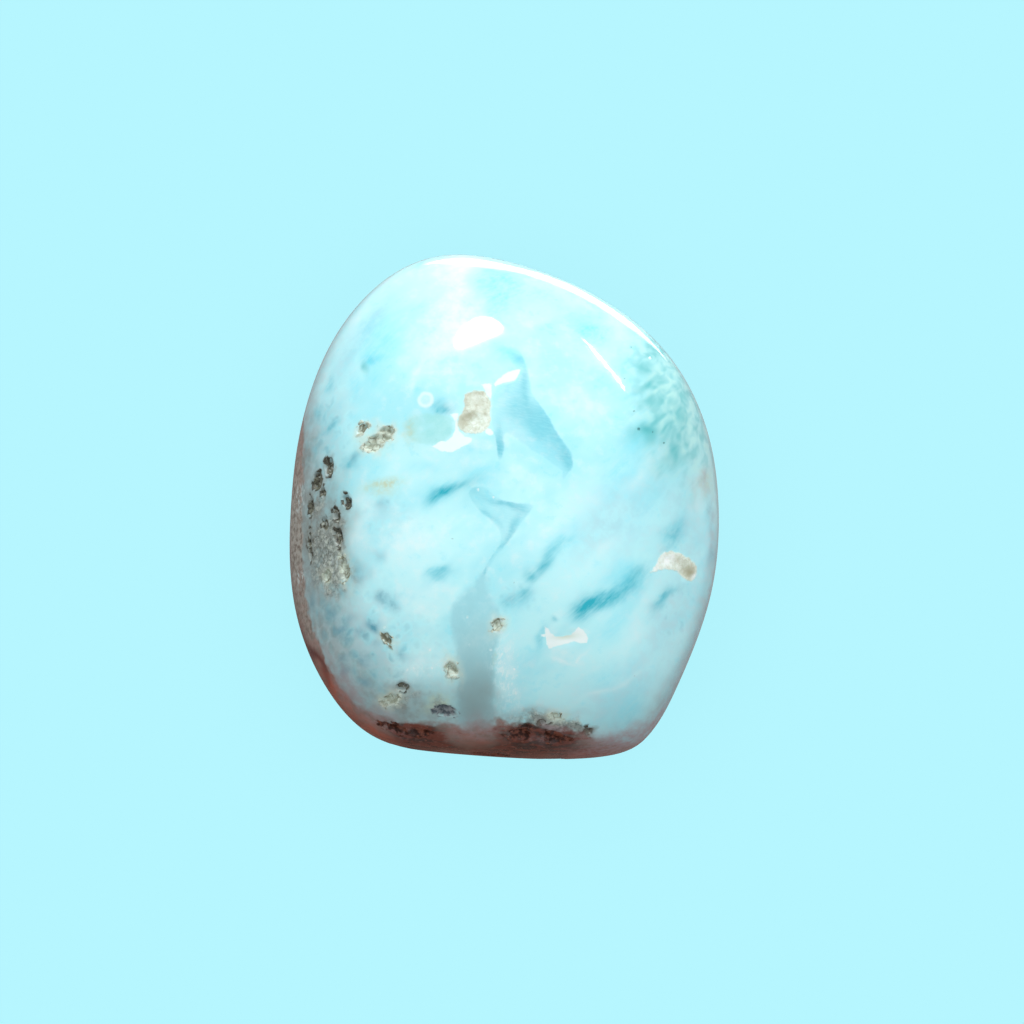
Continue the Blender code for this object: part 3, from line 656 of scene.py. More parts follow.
def girdle_radius(azimuth):
    """The girdle's radius in mm at each azimuth in degrees."""
    knots, radii = np.array(GIRDLE_KNOTS, float).T
    gaps, bends = ring_bends(knots, radii)
    turn = azimuth % 360.0
    i = np.searchsorted(knots, turn, side="right") - 1
    j = (i + 1) % len(knots)
    b = (turn - knots[i]) / gaps[i]
    a = 1 - b
    bow = (a**3 - a) * bends[i] + (b**3 - b) * bends[j]
    return a * radii[i] + b * radii[j] + bow * gaps[i] ** 2 / 6


def facing_way(azimuth, elevation):
    """The unit direction at an azimuth and an elevation in degrees."""
    turn, tilt = math.radians(azimuth), math.radians(elevation)
    return np.array((math.cos(turn) * math.cos(tilt), math.sin(turn) * math.cos(tilt), math.sin(tilt)))


def pebble_reach(ways):
    """How far in mm the rounded pebble reaches from its middle along each unit direction."""
    level = np.hypot(ways[:, 0], ways[:, 1])
    across = level / girdle_radius(np.degrees(np.arctan2(ways[:, 1], ways[:, 0])))
    up = ways[:, 2] > 0
    tall = np.abs(ways[:, 2]) / np.where(up, CROWN_HEIGHT, KEEL_DEPTH)
    fullness = np.where(up, CROWN_FULLNESS, KEEL_FULLNESS)
    reach = (across**fullness + tall**fullness) ** (-1 / fullness)
    for _, azimuth, elevation, spread, height in SWELLS:
        off = 1 - ways @ facing_way(azimuth, elevation)
        reach += height * np.exp(-off / (1 - math.cos(math.radians(spread))))
    return reach


def soft_least(a, b, softness):
    """The lesser of a and b, rounded where they meet."""
    blend = np.clip(0.5 + 0.5 * (b - a) / softness, 0, 1)
    return b + (a - b) * blend - softness * blend * (1 - blend)


def stone_points(ways):
    """Points in mm on the stone's skin along unit directions from its middle, with z = 0 on the rest face."""
    reach = pebble_reach(ways)
    round_points = ways * reach[:, None]
    for _, azimuth, elevation, cut in GROUND_FLATS:
        facing = facing_way(azimuth, elevation)
        distance = (round_points @ facing).max() - cut
        towards = np.maximum(ways @ facing, 1e-6)
        reach = soft_least(reach, np.minimum(distance / towards, 1000.0), FLAT_SOFTNESS)
    points = ways * reach[:, None]
    over = points[:, 2] + REST_LEVEL
    rounded = (np.clip(over, -REST_ROUNDING, None) + REST_ROUNDING) ** 2 / (4 * REST_ROUNDING)
    points[:, 2] = np.where(over < REST_ROUNDING, rounded, over)
    return points


def skin_places(mesh):
    """Where the corners of a gridded cube, from -1 to 1, lie on the skin, in mm over the footprint's middle."""
    corners = np.array([v.co for v in mesh.verts])
    ways = np.tan(corners * math.pi / 4)
    ways /= np.linalg.norm(ways, axis=1)[:, None]
    ways[:, 2] *= SKIN_SQUASH
    points = stone_points(ways / np.linalg.norm(ways, axis=1)[:, None])
    middle = (points.max(axis=0) + points.min(axis=0)) / 2
    middle[2] = 0
    return points - middle


def lay_on_skin(mesh):
    """Moves a gridded cube's corners onto the skin, in metres."""
    for vertex, point in zip(mesh.verts, skin_places(mesh)):
        vertex.co = Vector(point) * MM
    mesh.normal_update()


def split_faces(mesh, wanted):
    """Splits into four each face of the gridded cube whose middle on the skin is wanted."""
    mesh.verts.index_update()
    mesh.edges.index_update()
    mesh.edges.ensure_lookup_table()
    points = skin_places(mesh)
    middles = np.array([points[[v.index for v in face.verts]].mean(axis=0) for face in mesh.faces])
    chosen = {edge.index for face, take in zip(mesh.faces, wanted(middles)) if take for edge in face.edges}
    edges = [mesh.edges[index] for index in sorted(chosen)]
    bmesh.ops.subdivide_edges(mesh, edges=edges, cuts=1, use_grid_fill=True)


def gridded_cube():
    mesh = bmesh.new()
    bmesh.ops.create_cube(mesh, size=2)
    bmesh.ops.subdivide_edges(mesh, edges=mesh.edges[:], cuts=CUBE_ROWS - 1, use_grid_fill=True)
    return mesh


def seat_from_above(skin, x, y, turn):
    """Where a face pit sits: its middle, the skin's normal, and the way its length runs."""
    place, normal, _, _ = skin.ray_cast(Vector((x * MM, y * MM, 1)), -UP)
    heading = Vector((math.cos(math.radians(turn)), math.sin(math.radians(turn)), 0))
    return place, normal, (heading - normal * heading.dot(normal)).normalized()


def seat_from_side(skin, azimuth, height, turn):
    """Where a wall pit sits, in the same three parts."""
    outward = Vector(facing_way(azimuth, 0))
    place, normal, _, _ = skin.ray_cast(outward + UP * height * MM, -outward)
    level = UP.cross(normal).normalized()
    tilt = math.radians(turn)
    return place, normal, level * math.cos(tilt) + normal.cross(level) * math.sin(tilt)


def all_pits():
    """Each pit's seat, length, width, depth and kind, with the seat's place in mm."""
    mesh = gridded_cube()
    lay_on_skin(mesh)
    skin = BVHTree.FromBMesh(mesh)
    mesh.free()
    pits = [(seat_from_above(skin, x, y, turn), length, width, depth, kind)
            for _, x, y, length, width, turn, depth, kind in FACE_PITS]
    pits += [(seat_from_side(skin, azimuth, height, turn), length, width, depth, kind)
             for _, azimuth, height, length, width, turn, depth, kind in WALL_PITS]
    return [(np.array(place) / MM, np.array(normal), np.array(along), length, width, depth, kind)
            for (place, normal, along), length, width, depth, kind in pits]


def ripple(points, size, seed):
    """Smooth unevenness, mostly from -1 to 1, whose bumps are about that many mm across."""
    waves = 14
    chance = np.random.default_rng(seed)
    ways = chance.normal(size=(waves, 3))
    ways /= np.linalg.norm(ways, axis=1)[:, None]
    phases = chance.uniform(0, 2 * math.pi, waves)
    return np.sin(points @ ways.T * math.pi / size + phases).sum(axis=1) / math.sqrt(waves)


def step(values, low, high):
    """Runs smoothly from 0 at low to 1 at high."""
    t = np.clip((values - low) / (high - low), 0, 1)
    return t * t * (3 - 2 * t)


def pit_fields(points, pits):
    """How far each point is inside each kind of pit, in mm along the skin, and how deep it lies."""
    inside = {kind: np.full(len(points), FAR_OUTSIDE) for kind in PIT_KINDS}
    drop = np.zeros(len(points))
    wander = np.clip(ripple(points, 0.9, 3) + 0.7 * ripple(points, 0.4, 4), -1, 1)
    lumps = ripple(points, 0.5, 5)
    for place, normal, along, length, width, depth, kind in pits:
        offset = points - place
        a = offset @ along / (length / 2)
        b = offset @ np.cross(normal, along) / (width / 2)
        far = np.abs(offset @ normal) > 3
        ring = np.hypot(a, b) * (1 + PIT_WANDER * wander)
        within = np.where(far, FAR_OUTSIDE, np.maximum((1 - ring) * width / 2, FAR_OUTSIDE))
        if kind in inside:
            inside[kind] = np.maximum(inside[kind], within)
        if kind in inside:
            depths = depth * step(within, -0.05, PIT_WALL) * (0.8 + 0.2 * lumps)
        else:
            depths = BARE_DEPTH * depth * step(within, -0.3, BARE_WALL)
        drop = np.maximum(drop, depths)
    return inside, drop


def view_axes():
    """The camera's right, up and backward directions."""
    tilt = math.radians(VIEW_ELEVATION)
    return (
        Vector((1, 0, 0)),
        Vector((0, math.sin(tilt), math.cos(tilt))),
        Vector((0, -math.cos(tilt), math.sin(tilt))),
    )


def camera_place():
    """The point in mm that the camera looks at, and the camera's own place."""
    right, up, backward = view_axes()
    aim = STONE_MIDDLE + right * FRAMING[0] + up * FRAMING[1]
    return aim, aim + backward * (PHOTO_SIDE / PHOTO_SCALE * LENS / SENSOR)


def on_chart(points):
    """Each point's X and Y on the view chart."""
    right, up, backward = (np.array(axis) for axis in view_axes())
    aim, camera = (np.array(place) for place in camera_place())
    seen = points - camera
    scale = ((camera - aim) @ backward) / (-seen @ backward)
    return np.stack((seen @ right * scale + FRAMING[0], seen @ up * scale + FRAMING[1]), axis=1)


def soft_density(chart, marks):
    """How strongly soft marks colour each place on the chart, from 0 to 1."""
    bare = np.ones(len(chart))
    for _, x, y, length, width, turn, strength in marks:
        heading = math.radians(turn)
        off = chart - (x, y)
        a = (off[:, 0] * math.cos(heading) + off[:, 1] * math.sin(heading)) / (length / 2)
        b = (off[:, 1] * math.cos(heading) - off[:, 0] * math.sin(heading)) / (width / 2)
        bare *= 1 - strength * np.exp(-1.2 * (a * a + b * b))
    return 1 - bare


def inside_outline(chart, outline):
    """How far each place on the chart is inside a closed outline, in mm, and below zero outside."""
    least = np.full(len(chart), 1e9)
    crossings = np.zeros(len(chart), bool)
    for start, end in zip(outline, np.roll(outline, -1, axis=0)):
        run = end - start
        off = chart - start
        along = np.clip(off @ run / (run @ run), 0, 1)
        least = np.minimum(least, np.linalg.norm(off - along[:, None] * run, axis=1))
        spans = (start[1] > chart[:, 1]) != (end[1] > chart[:, 1])
        if run[1] != 0:
            crossings ^= spans & (off[:, 0] < off[:, 1] * run[0] / run[1])
    return np.where(crossings, least, -least)


def inside_dots(chart, dots):
    inside = [size / 2 - np.hypot(chart[:, 0] - x, chart[:, 1] - y) for x, y, size in dots]
    return np.maximum(np.max(inside, axis=0), FAR_OUTSIDE)


def below_levels(points, levels):
    """How far in mm each point lies below a line whose height goes by azimuth."""
    azimuths, heights = np.array(levels, float).T
    turn = np.degrees(np.arctan2(points[:, 1], points[:, 0])) % 360
    return np.interp(turn, azimuths, heights, period=360) - points[:, 2]


def rounded(outline, rounds):
    """A closed outline whose corners are cut again and again, which rounds it."""
    corners = np.array(outline, float)
    for _ in range(rounds):
        after = np.roll(corners, -1, axis=0)
        corners = np.stack((0.75 * corners + 0.25 * after, 0.25 * corners + 0.75 * after), axis=1).reshape(-1, 2)
    return corners


def mark_fields(points, normals):
    """Every mark's strength, or its distance inside in mm, for each point of the skin."""
    aim, camera = (np.array(place) for place in camera_place())
    to_camera = camera - points
    to_camera /= np.linalg.norm(to_camera, axis=1)[:, None]
    shown = step((normals * to_camera).sum(axis=1), *BACK_FADE)
    chart = on_chart(points)
    warp = [ripple(points, 2.2, seed) + 0.4 * ripple(points, 0.8, seed + 1) for seed in (11, 21)]
    soft_chart = chart + SOFT_WARP * np.stack(warp, axis=1)
    fields = {name: soft_density(soft_chart, marks) * shown for name, marks in SOFT_MARKS.items()}
    fields["olive"] = soft_density(chart, OLIVE_PLACES) * shown
    for name, outlines in OUTLINES.items():
        rounds = 0 if name == "white" else 2
        inside = np.max([inside_outline(chart, rounded(outline, rounds)) for outline in outlines], axis=0)
        fields[name] = np.where(shown > 0.5, np.maximum(inside, FAR_OUTSIDE), FAR_OUTSIDE)
    fields["speck"] = np.where(shown > 0.5, inside_dots(chart, SPECKS), FAR_OUTSIDE)
    fields["sparkle"] = np.where(shown > 0.5, inside_dots(chart, SPARKLES), FAR_OUTSIDE)
    fields["stain_shade_and_reflection"] = np.maximum(below_levels(points, STAIN_SHADE_AND_REFLECTION_LEVELS), FAR_OUTSIDE)
    fields["rim"] = step(below_levels(points, RIM_SHADE_LEVELS) + 0.4 * warp[0], -1.0, 2.5)
    fields["back"] = 1 - step(points[:, 2] + 1.5 * ripple(points, 5, 31), 6.0, 13.0)
    return fields


def make_stone():
    """The polished skin with its rough pits, as one fine closed mesh that carries its marks as fields."""
    pits = all_pits()

    def near_detail(middles):
        reach = np.array([math.dist((0, 0), (length, width)) / 2 for _, _, _, length, width, _, _ in pits])
        places = np.array([pit[0] for pit in pits])
        gaps = np.linalg.norm(middles[:, None, :] - places[None, :, :], axis=2) - reach[None, :]
        return gaps.min(axis=1) < 0.3

    mesh = gridded_cube()
    split_faces(mesh, lambda middles: middles[:, 2] > SHOWN_HEIGHT)
    split_faces(mesh, near_detail)
    lay_on_skin(mesh)
    points = np.array([v.co for v in mesh.verts]) / MM
    normals = np.array([v.normal for v in mesh.verts])
    pit_inside, drop = pit_fields(points, pits)
    fields = mark_fields(points, normals)
    fields.update({f"{kind}_pit": values for kind, values in pit_inside.items()})
    fields["drop"] = drop
    for vertex, place in zip(mesh.verts, points - normals * drop[:, None]):
        vertex.co = Vector(place) * MM
    data = bpy.data.meshes.new("polished_stone")
    mesh.to_mesh(data)
    mesh.free()
    data.shade_smooth()
    for name, values in fields.items():
        layer = data.attributes.new(name, "FLOAT", "POINT")
        layer.data.foreach_set("value", values.astype(np.float32))
    stone = bpy.data.objects.new("polished_stone", data)
    bpy.context.collection.objects.link(stone)
    return stone


def feed(tree, socket, source):
    """Wires a node's output to a socket, or sets the socket to a plain value or colour."""
    if isinstance(source, bpy.types.NodeSocket):
        tree.links.new(source, socket)
    elif isinstance(source, tuple) and len(source) == 3 and socket.type == "RGBA":
        socket.default_value = (*source, 1)
    else:
        socket.default_value = source


def add_node(tree, kind, options=(), **inputs):
    """Adds a shader node with its options, and feeds the inputs named with _ for a space."""
    made = tree.nodes.new("ShaderNode" + kind)
    for name, value in dict(options).items():
        setattr(made, name, value)
    for name, source in inputs.items():
        feed(tree, made.inputs[name.replace("_", " ")], source)
    return made


def maths(tree, operation, *sources):
    made = add_node(tree, "Math", {"operation": operation})
    for socket, source in zip(made.inputs, sources):
        feed(tree, socket, source)
    return made.outputs["Value"]


def between(tree, value, low, high, start=0.0, end=1.0):
    """Runs smoothly from start, where the value is low, to end, where it is high."""
    made = add_node(tree, "MapRange", {"interpolation_type": "SMOOTHSTEP"}, Value=value)
    for name, source in (("From Min", low), ("From Max", high), ("To Min", start), ("To Max", end)):
        feed(tree, made.inputs[name], source)
    return made.outputs["Result"]


def tint(tree, amount, under, over, way="MIX"):
    """Lays one colour over another by an amount from 0 to 1."""
    made = add_node(tree, "Mix", {"data_type": "RGBA", "blend_type": way})
    feed(tree, made.inputs[0], amount)
    feed(tree, made.inputs[6], under)
    feed(tree, made.inputs[7], over)
    return made.outputs[2]


def noise(tree, place, size, detail=2.0, roughness=0.5, distortion=0.0):
    """Cloudy noise from 0 to 1 whose lumps are about that many mm across."""
    made = add_node(tree, "TexNoise", Vector=place, Scale=1 / size, Detail=detail, Roughness=roughness,
                    Distortion=distortion)
    return made.outputs["Fac"]


def stretched(tree, place, turn, scale):
    """The place turned about the upright axis and scaled, which draws patterns out along one way."""
    made = add_node(tree, "Mapping", {"vector_type": "TEXTURE"}, Vector=place)
    made.inputs["Rotation"].default_value = (0, 0, math.radians(turn))
    made.inputs["Scale"].default_value = scale
    return made.outputs["Vector"]


def bent(tree, place, size, amount):
    """The place pushed about by noise, which keeps cells and lines from looking regular."""
    push = add_node(tree, "TexNoise", Vector=place, Scale=1 / size, Detail=1.0).outputs["Color"]
    made = add_node(tree, "VectorMath", {"operation": "MULTIPLY_ADD"})
    for socket, source in zip(made.inputs, (push, (amount, amount, amount), place)):
        feed(tree, socket, source)
    return made.outputs["Vector"]


def cells(tree, place, size, feature="F1"):
    """The distance from each cell's middle, or from its edge, in a pattern of cells of that size in mm."""
    made = add_node(tree, "TexVoronoi", {"feature": feature}, Vector=place, Scale=1 / size)
    return made.outputs["Distance"]


def field(tree, name):
    return add_node(tree, "Attribute", {"attribute_name": name}).outputs["Fac"]


def ragged_edge_group():
    """A group that turns the distance inside a mark into a mask with an uneven or a chipped edge."""
    group = bpy.data.node_groups.new("ragged edge", "ShaderNodeTree")
    for name, kind, value in (
        ("Inside", "NodeSocketFloat", 0.0),
        ("Place", "NodeSocketVector", (0, 0, 0)),
        ("Grain", "NodeSocketFloat", 0.5),
        ("Raggedness", "NodeSocketFloat", 0.2),
        ("Chipping", "NodeSocketFloat", 0.0),
        ("Softness", "NodeSocketFloat", 0.1),
    ):
        group.interface.new_socket(name, in_out="INPUT", socket_type=kind).default_value = value
    group.interface.new_socket("Mask", in_out="OUTPUT", socket_type="NodeSocketFloat")
    given = group.nodes.new("NodeGroupInput").outputs
    result = group.nodes.new("NodeGroupOutput")
    scale = maths(group, "DIVIDE", 1.0, given["Grain"])
    uneven = add_node(group, "TexNoise", Vector=given["Place"], Detail=2.0, Scale=scale).outputs["Fac"]
    push = maths(group, "MULTIPLY", maths(group, "SUBTRACT", uneven, 0.5), given["Raggedness"])
    inside = maths(group, "ADD", given["Inside"], push)
    cell = add_node(group, "TexVoronoi", Vector=given["Place"], Scale=scale).outputs["Color"]
    chance = add_node(group, "SeparateColor", Color=cell).outputs["Red"]
    chip = maths(group, "MULTIPLY", maths(group, "SUBTRACT", chance, 0.5), given["Chipping"])
    inside = maths(group, "ADD", inside, chip)
    low = maths(group, "MULTIPLY", given["Softness"], -1.0)
    feed(group, result.inputs["Mask"], between(group, inside, low, given["Softness"]))
    return group


def larimar():
    """Pale blue larimar with milky clouds, turquoise streaks, grey panes, rough matrix and a rusty foot, with
    painted shade and warm reflection on the rim.
    """
    material = bpy.data.materials.new("larimar")
    material.use_nodes = True
    tree = material.node_tree
    shader = tree.nodes["Principled BSDF"]
    coordinates = add_node(tree, "TexCoord").outputs["Object"]
    scaled = add_node(tree, "VectorMath", {"operation": "SCALE"}, Vector=coordinates)
    scaled.inputs["Scale"].default_value = 1 / MM
    place = scaled.outputs["Vector"]
    ragged_edge = ragged_edge_group()
    colour = PALE

    def lay(amount, over, part=1.0):
        """Lays a colour over what is there, by an amount that may be a field's name, times a part of one."""
        nonlocal colour
        amount = field(tree, amount) if isinstance(amount, str) else amount
        amount = amount if part == 1.0 else times(amount, part)
        colour = tint(tree, amount, colour, over)

    def mark(name, grain, raggedness, softness, chipping=0.0, inset=0.0):
        inside = maths(tree, "SUBTRACT", field(tree, name), inset) if inset else field(tree, name)
        made = add_node(tree, "Group", {"node_tree": ragged_edge}, Inside=inside, Place=place, Grain=grain,
                        Raggedness=raggedness, Chipping=chipping, Softness=softness)
        return made.outputs["Mask"]

    def times(first, second):
        return maths(tree, "MULTIPLY", first, second)

    def most(first, *others):
        return maths(tree, "MAXIMUM", first, most(*others)) if others else first

    flow = stretched(tree, place, 40, (1.7, 1.0, 1.0))
    clouds = noise(tree, flow, 5.0, 3.0, 0.5, 0.3)
    cotton = noise(tree, place, 1.5, 5.0, 0.62)
    grains = noise(tree, place, 0.3, 2.0, 0.6)
    crumbs = noise(tree, place, 0.55, 3.0, 0.6)
    feathers = noise(tree, stretched(tree, place, 42, (5.0, 1.0, 1.0)), 0.4, 3.0, 0.6)
    puffs = between(tree, cotton, 0.3, 0.7, 0.5, 1.35)
    fibrous = between(tree, feathers, 0.3, 0.7, 0.75, 1.25)

    lay(between(tree, clouds, 0.6, 0.36), PALE_DEEP)
    lay(between(tree, cotton, 0.48, 0.7), MILK, 0.34)
    lay(between(tree, cotton, 0.42, 0.3), SKY, 0.3)
    back = field(tree, "back")
    lay(times(back, between(tree, clouds, 0.46, 0.32)), TURQUOISE, 0.6)
    lay(times(back, between(tree, cotton, 0.5, 0.62)), MILK, 0.45)

    lay(times(field(tree, "mist"), puffs), MIST)
    # The greyer rim round the show face is painted shade.
    lay(times(field(tree, "rim"), between(tree, cotton, 0.3, 0.65, 0.4, 0.9)), RIM_SHADE)
    # Greyer tone and painted shade on the left wall, the lower left and above the foot.
    lay(times(field(tree, "grey_tone_and_shade"), between(tree, cotton, 0.3, 0.7, 0.75, 1.15)), GREY_TONE_AND_SHADE)
    mottling = field(tree, "mottling")
    spots = cells(tree, bent(tree, place, 1.2, 1.6), 1.35)
    lay(times(mottling, between(tree, spots, 0.42, 0.12)), SPOT_BLUE, 0.5)
    lay(times(mottling, between(tree, spots, 0.4, 0.7)), NET_PALE, 0.5)

    lay(times(field(tree, "milk"), puffs), MILK)
    lay(times(field(tree, "cyan"), times(fibrous, puffs)), SKY)
    strands = noise(tree, stretched(tree, place, 48, (4.0, 1.0, 1.0)), 1.1, 1.5, 0.5, 0.4)
    sea = field(tree, "sea")
    lay(sea, SEA_LIGHT, 0.85)
    lay(times(sea, between(tree, strands, 0.45, 0.7)), SEA_GREEN, 0.6)
    lay(times(sea, between(tree, strands, 0.5, 0.3)), SEA_PALE, 0.65)
    lay(field(tree, "teal"), SEA_GREEN)
    lay(times(field(tree, "turquoise"), fibrous), TURQUOISE)
    lay(times(field(tree, "spots"), puffs), SPOT_BLUE)

    pane_fibres = noise(tree, stretched(tree, place, -12, (4.0, 1.0, 1.0)), 0.2, 2.0)
    pane = times(between(tree, field(tree, "pane"), 0.0, 1.0, 0.14, 0.74),
                 between(tree, pane_fibres, 0.4, 0.68, 1.05, 0.85))
    lay(times(mark("pane_edge", 0.6, 0.3, 0.15), pane), PANE)
    vein = mark("vein", 1.1, 1.0, 0.4)
    lay(times(vein, between(tree, cotton, 0.3, 0.7, 0.75, 0.5)), VEIN_BLUE)
    lay(times(vein, field(tree, "vein_grey")), VEIN_GREY, 0.85)
    lay(times(mark("patch", 0.7, 0.5, 0.25), between(tree, cotton, 0.3, 0.7, 0.7, 0.3)), PATCH_GREEN)
    lay(times(mark("ring", 0.5, 0.2, 0.15), between(tree, field(tree, "ring"), 0.5, 0.2, 0.25, 0.6)), CHIP_WHITE)

    lay(times(field(tree, "tan"), between(tree, crumbs, 0.3, 0.7, 0.5, 1.3)), TAN)
    lay(mark("white", 0.4, 0.25, 0.08), tint(tree, field(tree, "olive"), CHIP_WHITE, CREAM_SHADE), 0.86)
    edges = cells(tree, bent(tree, place, 0.6, 0.5), 0.75, "DISTANCE_TO_EDGE")
    lines = between(tree, maths(tree, "ADD", edges, times(cotton, 0.6)), 0.42, 0.28)
    cream = mark("cream", 0.5, 0.4, 0.12)
    cream_colour = tint(tree, between(tree, crumbs, 0.35, 0.65), CREAM_SHADE, CREAM)
    cream_colour = tint(tree, field(tree, "olive"), cream_colour, OLIVE_TAN)
    cream_colour = tint(tree, times(lines, 0.25), cream_colour, OLIVE_TAN)
    cream_colour = tint(tree, times(field(tree, "chalk"), between(tree, crumbs, 0.3, 0.6, 0.6, 1.1)),
                        cream_colour, CHIP_WHITE)
    lay(cream, cream_colour)

    dark_grains = tint(tree, between(tree, grains, 0.36, 0.5), DARK_MATRIX, BROWN_GRAIN)
    dark_grains = tint(tree, between(tree, crumbs, 0.55, 0.67), dark_grains, LIGHT_GRAIN)
    dark_grains = tint(tree, between(tree, field(tree, "dark_pit"), 0.2, 0.0, 0.0, 0.7), dark_grains, DARK_MATRIX)
    dark_grains = tint(tree, times(lines, 0.8), dark_grains, DARK_MATRIX)
    grey_grains = tint(tree, between(tree, grains, 0.34, 0.5), DARK_GRAIN, GREY_GRAIN)
    grey_grains = tint(tree, between(tree, crumbs, 0.48, 0.62), grey_grains, LIGHT_GRAIN)
    grey_grains = tint(tree, times(lines, 0.6), grey_grains, DARK_GRAIN)
    matrix = between(tree, maths(tree, "ADD", field(tree, "matrix"), times(cotton, 1.2)), 0.85, 1.35)
    lay(matrix, grey_grains, 0.9)
    lay(times(between(tree, field(tree, "dark_pit"), -0.5, 0.1), puffs), HALO_GREY, 0.6)
    lay(times(between(tree, field(tree, "tan_pit"), -0.8, 0.1), puffs), CREAM_SHADE, 0.4)
    tan_pit = mark("tan_pit", 0.5, 0.4, 0.14, 0.5)
    tan_grains = tint(tree, between(tree, crumbs, 0.38, 0.6), TAN_FLOOR, TAN_LIGHT)
    lay(tan_pit, tint(tree, times(lines, 0.85), tan_grains, OLIVE))
    dark_pit = mark("dark_pit", 0.5, 0.3, 0.1, 0.6, 0.08)
    lay(dark_pit, dark_grains)
    glass_pit = mark("glass_pit", 0.5, 0.2, 0.12, 0.4)
    lay(glass_pit, tint(tree, between(tree, crumbs, 0.4, 0.62), GLASS_BLUE, GLASS_LIGHT))

    # Lilac tone, and on the rims a painted pinkish reflection.
    lay(times(field(tree, "lilac_and_rim_reflection"), puffs), LILAC_AND_RIM_REFLECTION)
    # The stain round the back and foot is partly the stone's rust-brown matrix and partly painted shade and a
    # painted warm reflection, darker lower down.
    edge_softness = between(tree, field(tree, "lilac_and_rim_reflection"), 0.15, 0.7, 0.3, 1.3)
    stain_shade_and_reflection = mark("stain_shade_and_reflection", 1.2, 1.4, edge_softness)
    blotches = noise(tree, stretched(tree, place, 0, (2.2, 1.0, 1.0)), 0.9, 4.0, 0.65)
    stain_shade_and_reflection_colour = tint(tree, between(tree, blotches, 0.36, 0.64), UMBER_GREY, MAUVE)
    deep = tint(tree, between(tree, blotches, 0.38, 0.62), RUST, RUST_BROWN)
    deep = tint(tree, between(tree, clouds, 0.48, 0.64, 0.0, 0.6), deep, DRAB_DARK)
    stain_shade_and_reflection_colour = tint(tree, between(tree, field(tree, "stain_shade_and_reflection"), 1.0, 4.0), stain_shade_and_reflection_colour, deep)
    # Bright orange at the lower rims: rust with a painted warm reflection.
    orange_rust_and_reflection = times(field(tree, "orange_rust_and_reflection"), between(tree, blotches, 0.35, 0.6, 0.65, 1.05))
    stain_shade_and_reflection_colour = tint(tree, orange_rust_and_reflection, stain_shade_and_reflection_colour, BRIGHT_RUST_AND_REFLECTION)
    drab = tint(tree, between(tree, crumbs, 0.3, 0.62), DRAB_DARK, DRAB)
    stain_shade_and_reflection_colour = tint(tree, field(tree, "drab"), stain_shade_and_reflection_colour, drab)
    umber = tint(tree, between(tree, blotches, 0.44, 0.55), RUST_DARK, RUST)
    umber = tint(tree, between(tree, crumbs, 0.56, 0.68), umber, RUST_BROWN)
    umber_amount = between(tree, maths(tree, "ADD", field(tree, "umber"), blotches), 0.8, 1.25)
    stain_shade_and_reflection_colour = tint(tree, umber_amount, stain_shade_and_reflection_colour, umber)
    lilac_and_rim_reflection = times(field(tree, "lilac_and_rim_reflection"), between(tree, crumbs, 0.38, 0.62, 0.35, 1.1))
    stain_shade_and_reflection_colour = tint(tree, lilac_and_rim_reflection, stain_shade_and_reflection_colour, LILAC_AND_RIM_REFLECTION)
    stain_shade_and_reflection_colour = tint(tree, field(tree, "red_rim_line_and_reflection"), stain_shade_and_reflection_colour, RED_RIM_LINE_AND_REFLECTION)
    lay(stain_shade_and_reflection, stain_shade_and_reflection_colour, 0.95)
    rust_pit = mark("rust_pit", 0.5, 0.8, 0.14, 0.6)
    lay(rust_pit, tint(tree, between(tree, crumbs, 0.42, 0.62), RUST_DARK, RUST_BROWN))

    crystals = noise(tree, stretched(tree, place, 70, (2.0, 1.0, 1.0)), 0.35, 3.0, 0.6)
    lay(times(field(tree, "glints"), between(tree, crystals, 0.47, 0.64)), MILK, 0.85)
    lay(mark("speck", 0.3, 0.08, 0.06), SPECK_TEAL, 0.85)
    # Painted glints: small white points.
    lay(mark("sparkle", 0.3, 0.15, 0.08), CHIP_WHITE, 0.85)
    feed(tree, shader.inputs["Base Color"], colour)

    pit_walls = between(tree, most(field(tree, "tan_pit"), field(tree, "dark_pit")), -0.1, 0.1)
    rough = most(tan_pit, dark_pit, times(pit_walls, 0.8), times(rust_pit, 0.5), times(cream, 0.4),
                 times(matrix, 0.4))
    feed(tree, shader.inputs["Roughness"], between(tree, rough, 0.0, 1.0, 0.07, 0.55))
    bump = add_node(tree, "Bump", Height=times(rough, crumbs), Distance=0.15 * MM, Strength=0.6)
    feed(tree, shader.inputs["Normal"], bump.outputs["Normal"])
    shader.inputs["IOR"].default_value = 1.6
    shader.inputs["Subsurface Weight"].default_value = 0.12
    shader.inputs["Subsurface Radius"].default_value = (0.8, 1.3, 1.5)
    shader.inputs["Subsurface Scale"].default_value = MM
    return material


